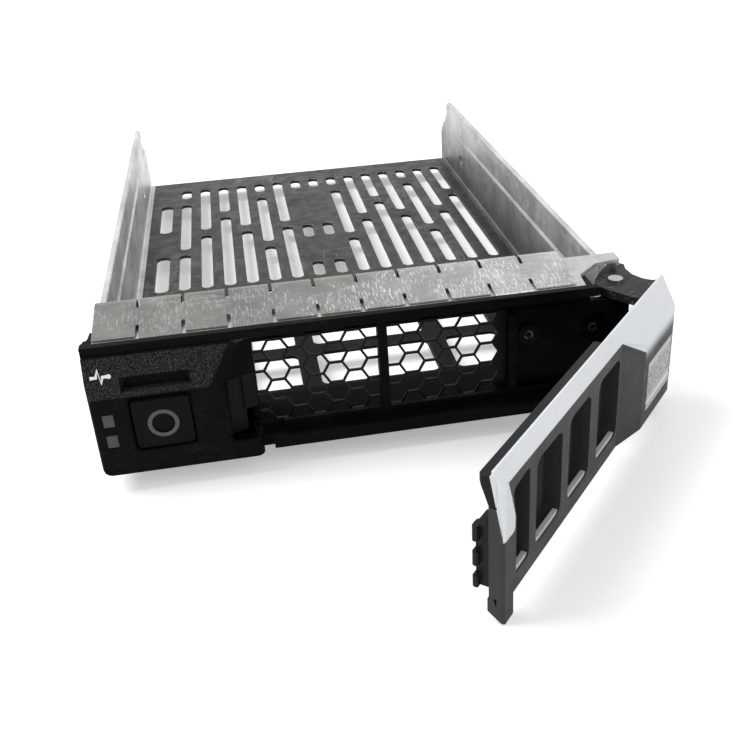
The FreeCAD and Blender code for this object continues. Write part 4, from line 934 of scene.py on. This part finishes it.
class CADDY_OT_activity_mark(bpy.types.Operator):
    """Printed activity mark: a pulse line on the slope above the light pipes"""
    bl_idname = "caddy.activity_mark"
    bl_label = "Activity Mark"

    def execute(self, context):
        size = sizes()
        pulse = [(-1.7, 0.0), (-0.6, 0.0), (-0.25, 1.35), (0.2, -1.2), (0.5, 0.0),
                 (1.6, 0.0)]
        curve = bpy.data.curves.new("activity_mark", "CURVE")
        curve.dimensions = "3D"
        spline = curve.splines.new("POLY")
        spline.points.add(len(pulse) - 1)
        for point, (across, up) in zip(spline.points, pulse):
            point.co = (across * MM, up * MM, 0, 1)
        curve.bevel_depth = size.mark_line
        curve.bevel_resolution = 3
        curve.use_fill_caps = True
        drawn = bpy.data.objects.new("activity_mark_line", curve)
        mesh = bpy.data.meshes.new_from_object(drawn)
        bpy.data.objects.remove(drawn)
        bm = bmesh.new()
        bm.from_mesh(mesh)
        bpy.data.meshes.remove(mesh)
        bmesh.ops.create_icosphere(bm, subdivisions=2, radius=size.mark_line * 1.35,
                                   matrix=Matrix.Translation((pulse[-1][0] * MM, 0, 0)))
        bmesh.ops.scale(bm, verts=bm.verts, vec=(1, 1, size.ink / size.mark_line))
        # the slope leans back from its foot at the front plane to the band's underside
        lean = math.atan2(SLOPE_DEPTH, SLOPE_RISE)
        centre = Vector((MARK_X, MARK_RISE * SLOPE_DEPTH / SLOPE_RISE,
                         SLOPE_FOOT + MARK_RISE)) * MM
        bmesh.ops.transform(bm, verts=bm.verts, matrix=Matrix.Translation(centre) @
                            Matrix.Rotation(math.pi / 2 - lean, 4, "X"))
        new_piece("activity_mark", bm, ink("mark_ink", colours().print_white), "base")
        return {"FINISHED"}


def aim(thing, target):
    thing.rotation_euler = (Vector(target) - thing.location).to_track_quat("-Z", "Y").to_euler()


def seen_share(tree):
    """1 for camera, glossy and transmitted rays, 0 for those that light the object."""
    path = tree.nodes.new("ShaderNodeLightPath").outputs
    seen = maths(tree, "MAXIMUM", path["Is Camera Ray"], path["Is Glossy Ray"])
    return maths(tree, "MAXIMUM", seen, path["Is Transmission Ray"])


class CADDY_OT_stage(bpy.types.Operator):
    """Pale floor, soft studio light and the camera"""
    bl_idname = "caddy.stage"
    bl_label = "Stage"

    def execute(self, context):
        scene = context.scene
        scene.view_settings.view_transform = "Standard"
        low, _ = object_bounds()
        self.lay_floor(low.z)
        self.light_world(scene)
        self.hang_lamps()
        self.place_camera(scene)
        return {"FINISHED"}

    def lay_floor(self, level):
        bm = bmesh.new()
        bmesh.ops.create_grid(bm, x_segments=8, y_segments=8, size=4)
        bmesh.ops.translate(bm, verts=bm.verts, vec=(0, 0, level - 0.2 * MM))
        mesh = bpy.data.meshes.new("floor")
        bm.to_mesh(mesh)
        bm.free()
        floor = bpy.data.objects.new("floor", mesh)
        bpy.context.scene.collection.objects.link(floor)
        material, tree, shader = new_material("floor_paper", roughness=1.0, specular=0.0)
        shader.inputs["Base Color"].default_value = FLOOR_PAPER
        path = tree.nodes.new("ShaderNodeLightPath").outputs
        glow = maths(tree, "ADD", maths(tree, "MULTIPLY", path["Is Camera Ray"], FLOOR_GLOW),
                     maths(tree, "MULTIPLY", path["Is Glossy Ray"], FLOOR_GLOSS_GLOW))
        shader.inputs["Emission Color"].default_value = WHITE
        tree.links.new(glow, shader.inputs["Emission Strength"])
        mesh.materials.append(material)
        floor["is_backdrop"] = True

    def light_world(self, scene):
        world = bpy.data.worlds.new("studio")
        world.use_nodes = True
        tree = world.node_tree
        tree.nodes["Background"].inputs["Color"].default_value = WHITE
        strength = spread(tree, seen_share(tree), 0.0, 1.0, WORLD_LIGHT, 1.0)
        tree.links.new(strength, tree.nodes["Background"].inputs["Strength"])
        scene.world = world

    def hang_lamps(self):
        for name, place, width, power in LAMPS:
            lamp = bpy.data.lights.new(name, "AREA")
            lamp.size = width
            lamp.energy = power
            holder = bpy.data.objects.new(name, lamp)
            holder.location = place
            aim(holder, LAMP_TARGET)
            bpy.context.scene.collection.objects.link(holder)

    def place_camera(self, scene):
        camera = bpy.data.cameras.new("camera")
        camera.lens = CAMERA_LENS
        camera.shift_x, camera.shift_y = CAMERA_SHIFT
        camera.clip_start = 0.01
        camera.clip_end = 20
        holder = bpy.data.objects.new("camera", camera)
        forward = Vector((math.sin(CAMERA_TURN) * math.cos(CAMERA_TILT),
                          math.cos(CAMERA_TURN) * math.cos(CAMERA_TILT), -math.sin(CAMERA_TILT)))
        right = forward.cross(Vector((0, 0, 1))).normalized()
        up = right.cross(forward)
        right, up = (math.cos(CAMERA_ROLL) * right + math.sin(CAMERA_ROLL) * up,
                     math.cos(CAMERA_ROLL) * up - math.sin(CAMERA_ROLL) * right)
        facing = Matrix((right, up, -forward)).transposed().to_4x4()
        holder.matrix_world = Matrix.Translation(CAMERA_PLACE) @ facing
        scene.collection.objects.link(holder)
        scene.camera = holder


OPERATORS = (CADDY_OT_tray, CADDY_OT_contacts, CADDY_OT_front, CADDY_OT_button, CADDY_OT_latch,
             CADDY_OT_light_pipes, CADDY_OT_lever, CADDY_OT_hinge, CADDY_OT_springs,
             CADDY_OT_activity_mark, CADDY_OT_stage)


class CADDY_PT_looks(bpy.types.Panel):
    """Settings and steps of the caddy's looks"""
    bl_idname = "CADDY_PT_looks"
    bl_label = "Drive Caddy"
    bl_space_type = "VIEW_3D"
    bl_region_type = "UI"
    bl_category = "Caddy"

    def draw(self, context):
        for group in (context.scene.caddy_colours, context.scene.caddy_sizes):
            box = self.layout.box()
            for name in group.bl_rna.properties.keys():
                if name not in ("rna_type", "name"):
                    box.prop(group, name)
        for operator in OPERATORS:
            self.layout.operator(operator.bl_idname)


CLASSES = (CaddyColours, CaddySizes, *OPERATORS, CADDY_PT_looks)


def register():
    for kind in CLASSES:
        bpy.utils.register_class(kind)
    bpy.types.Scene.caddy_colours = bpy.props.PointerProperty(type=CaddyColours)
    bpy.types.Scene.caddy_sizes = bpy.props.PointerProperty(type=CaddySizes)


def unregister():
    del bpy.types.Scene.caddy_sizes
    del bpy.types.Scene.caddy_colours
    for kind in reversed(CLASSES):
        bpy.utils.unregister_class(kind)


def main():
    """Build the looks."""
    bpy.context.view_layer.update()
    register()
    for operator in OPERATORS:
        group, step = operator.bl_idname.split(".")
        getattr(getattr(bpy.ops, group), step)()


if __name__ == "__main__":
    main()
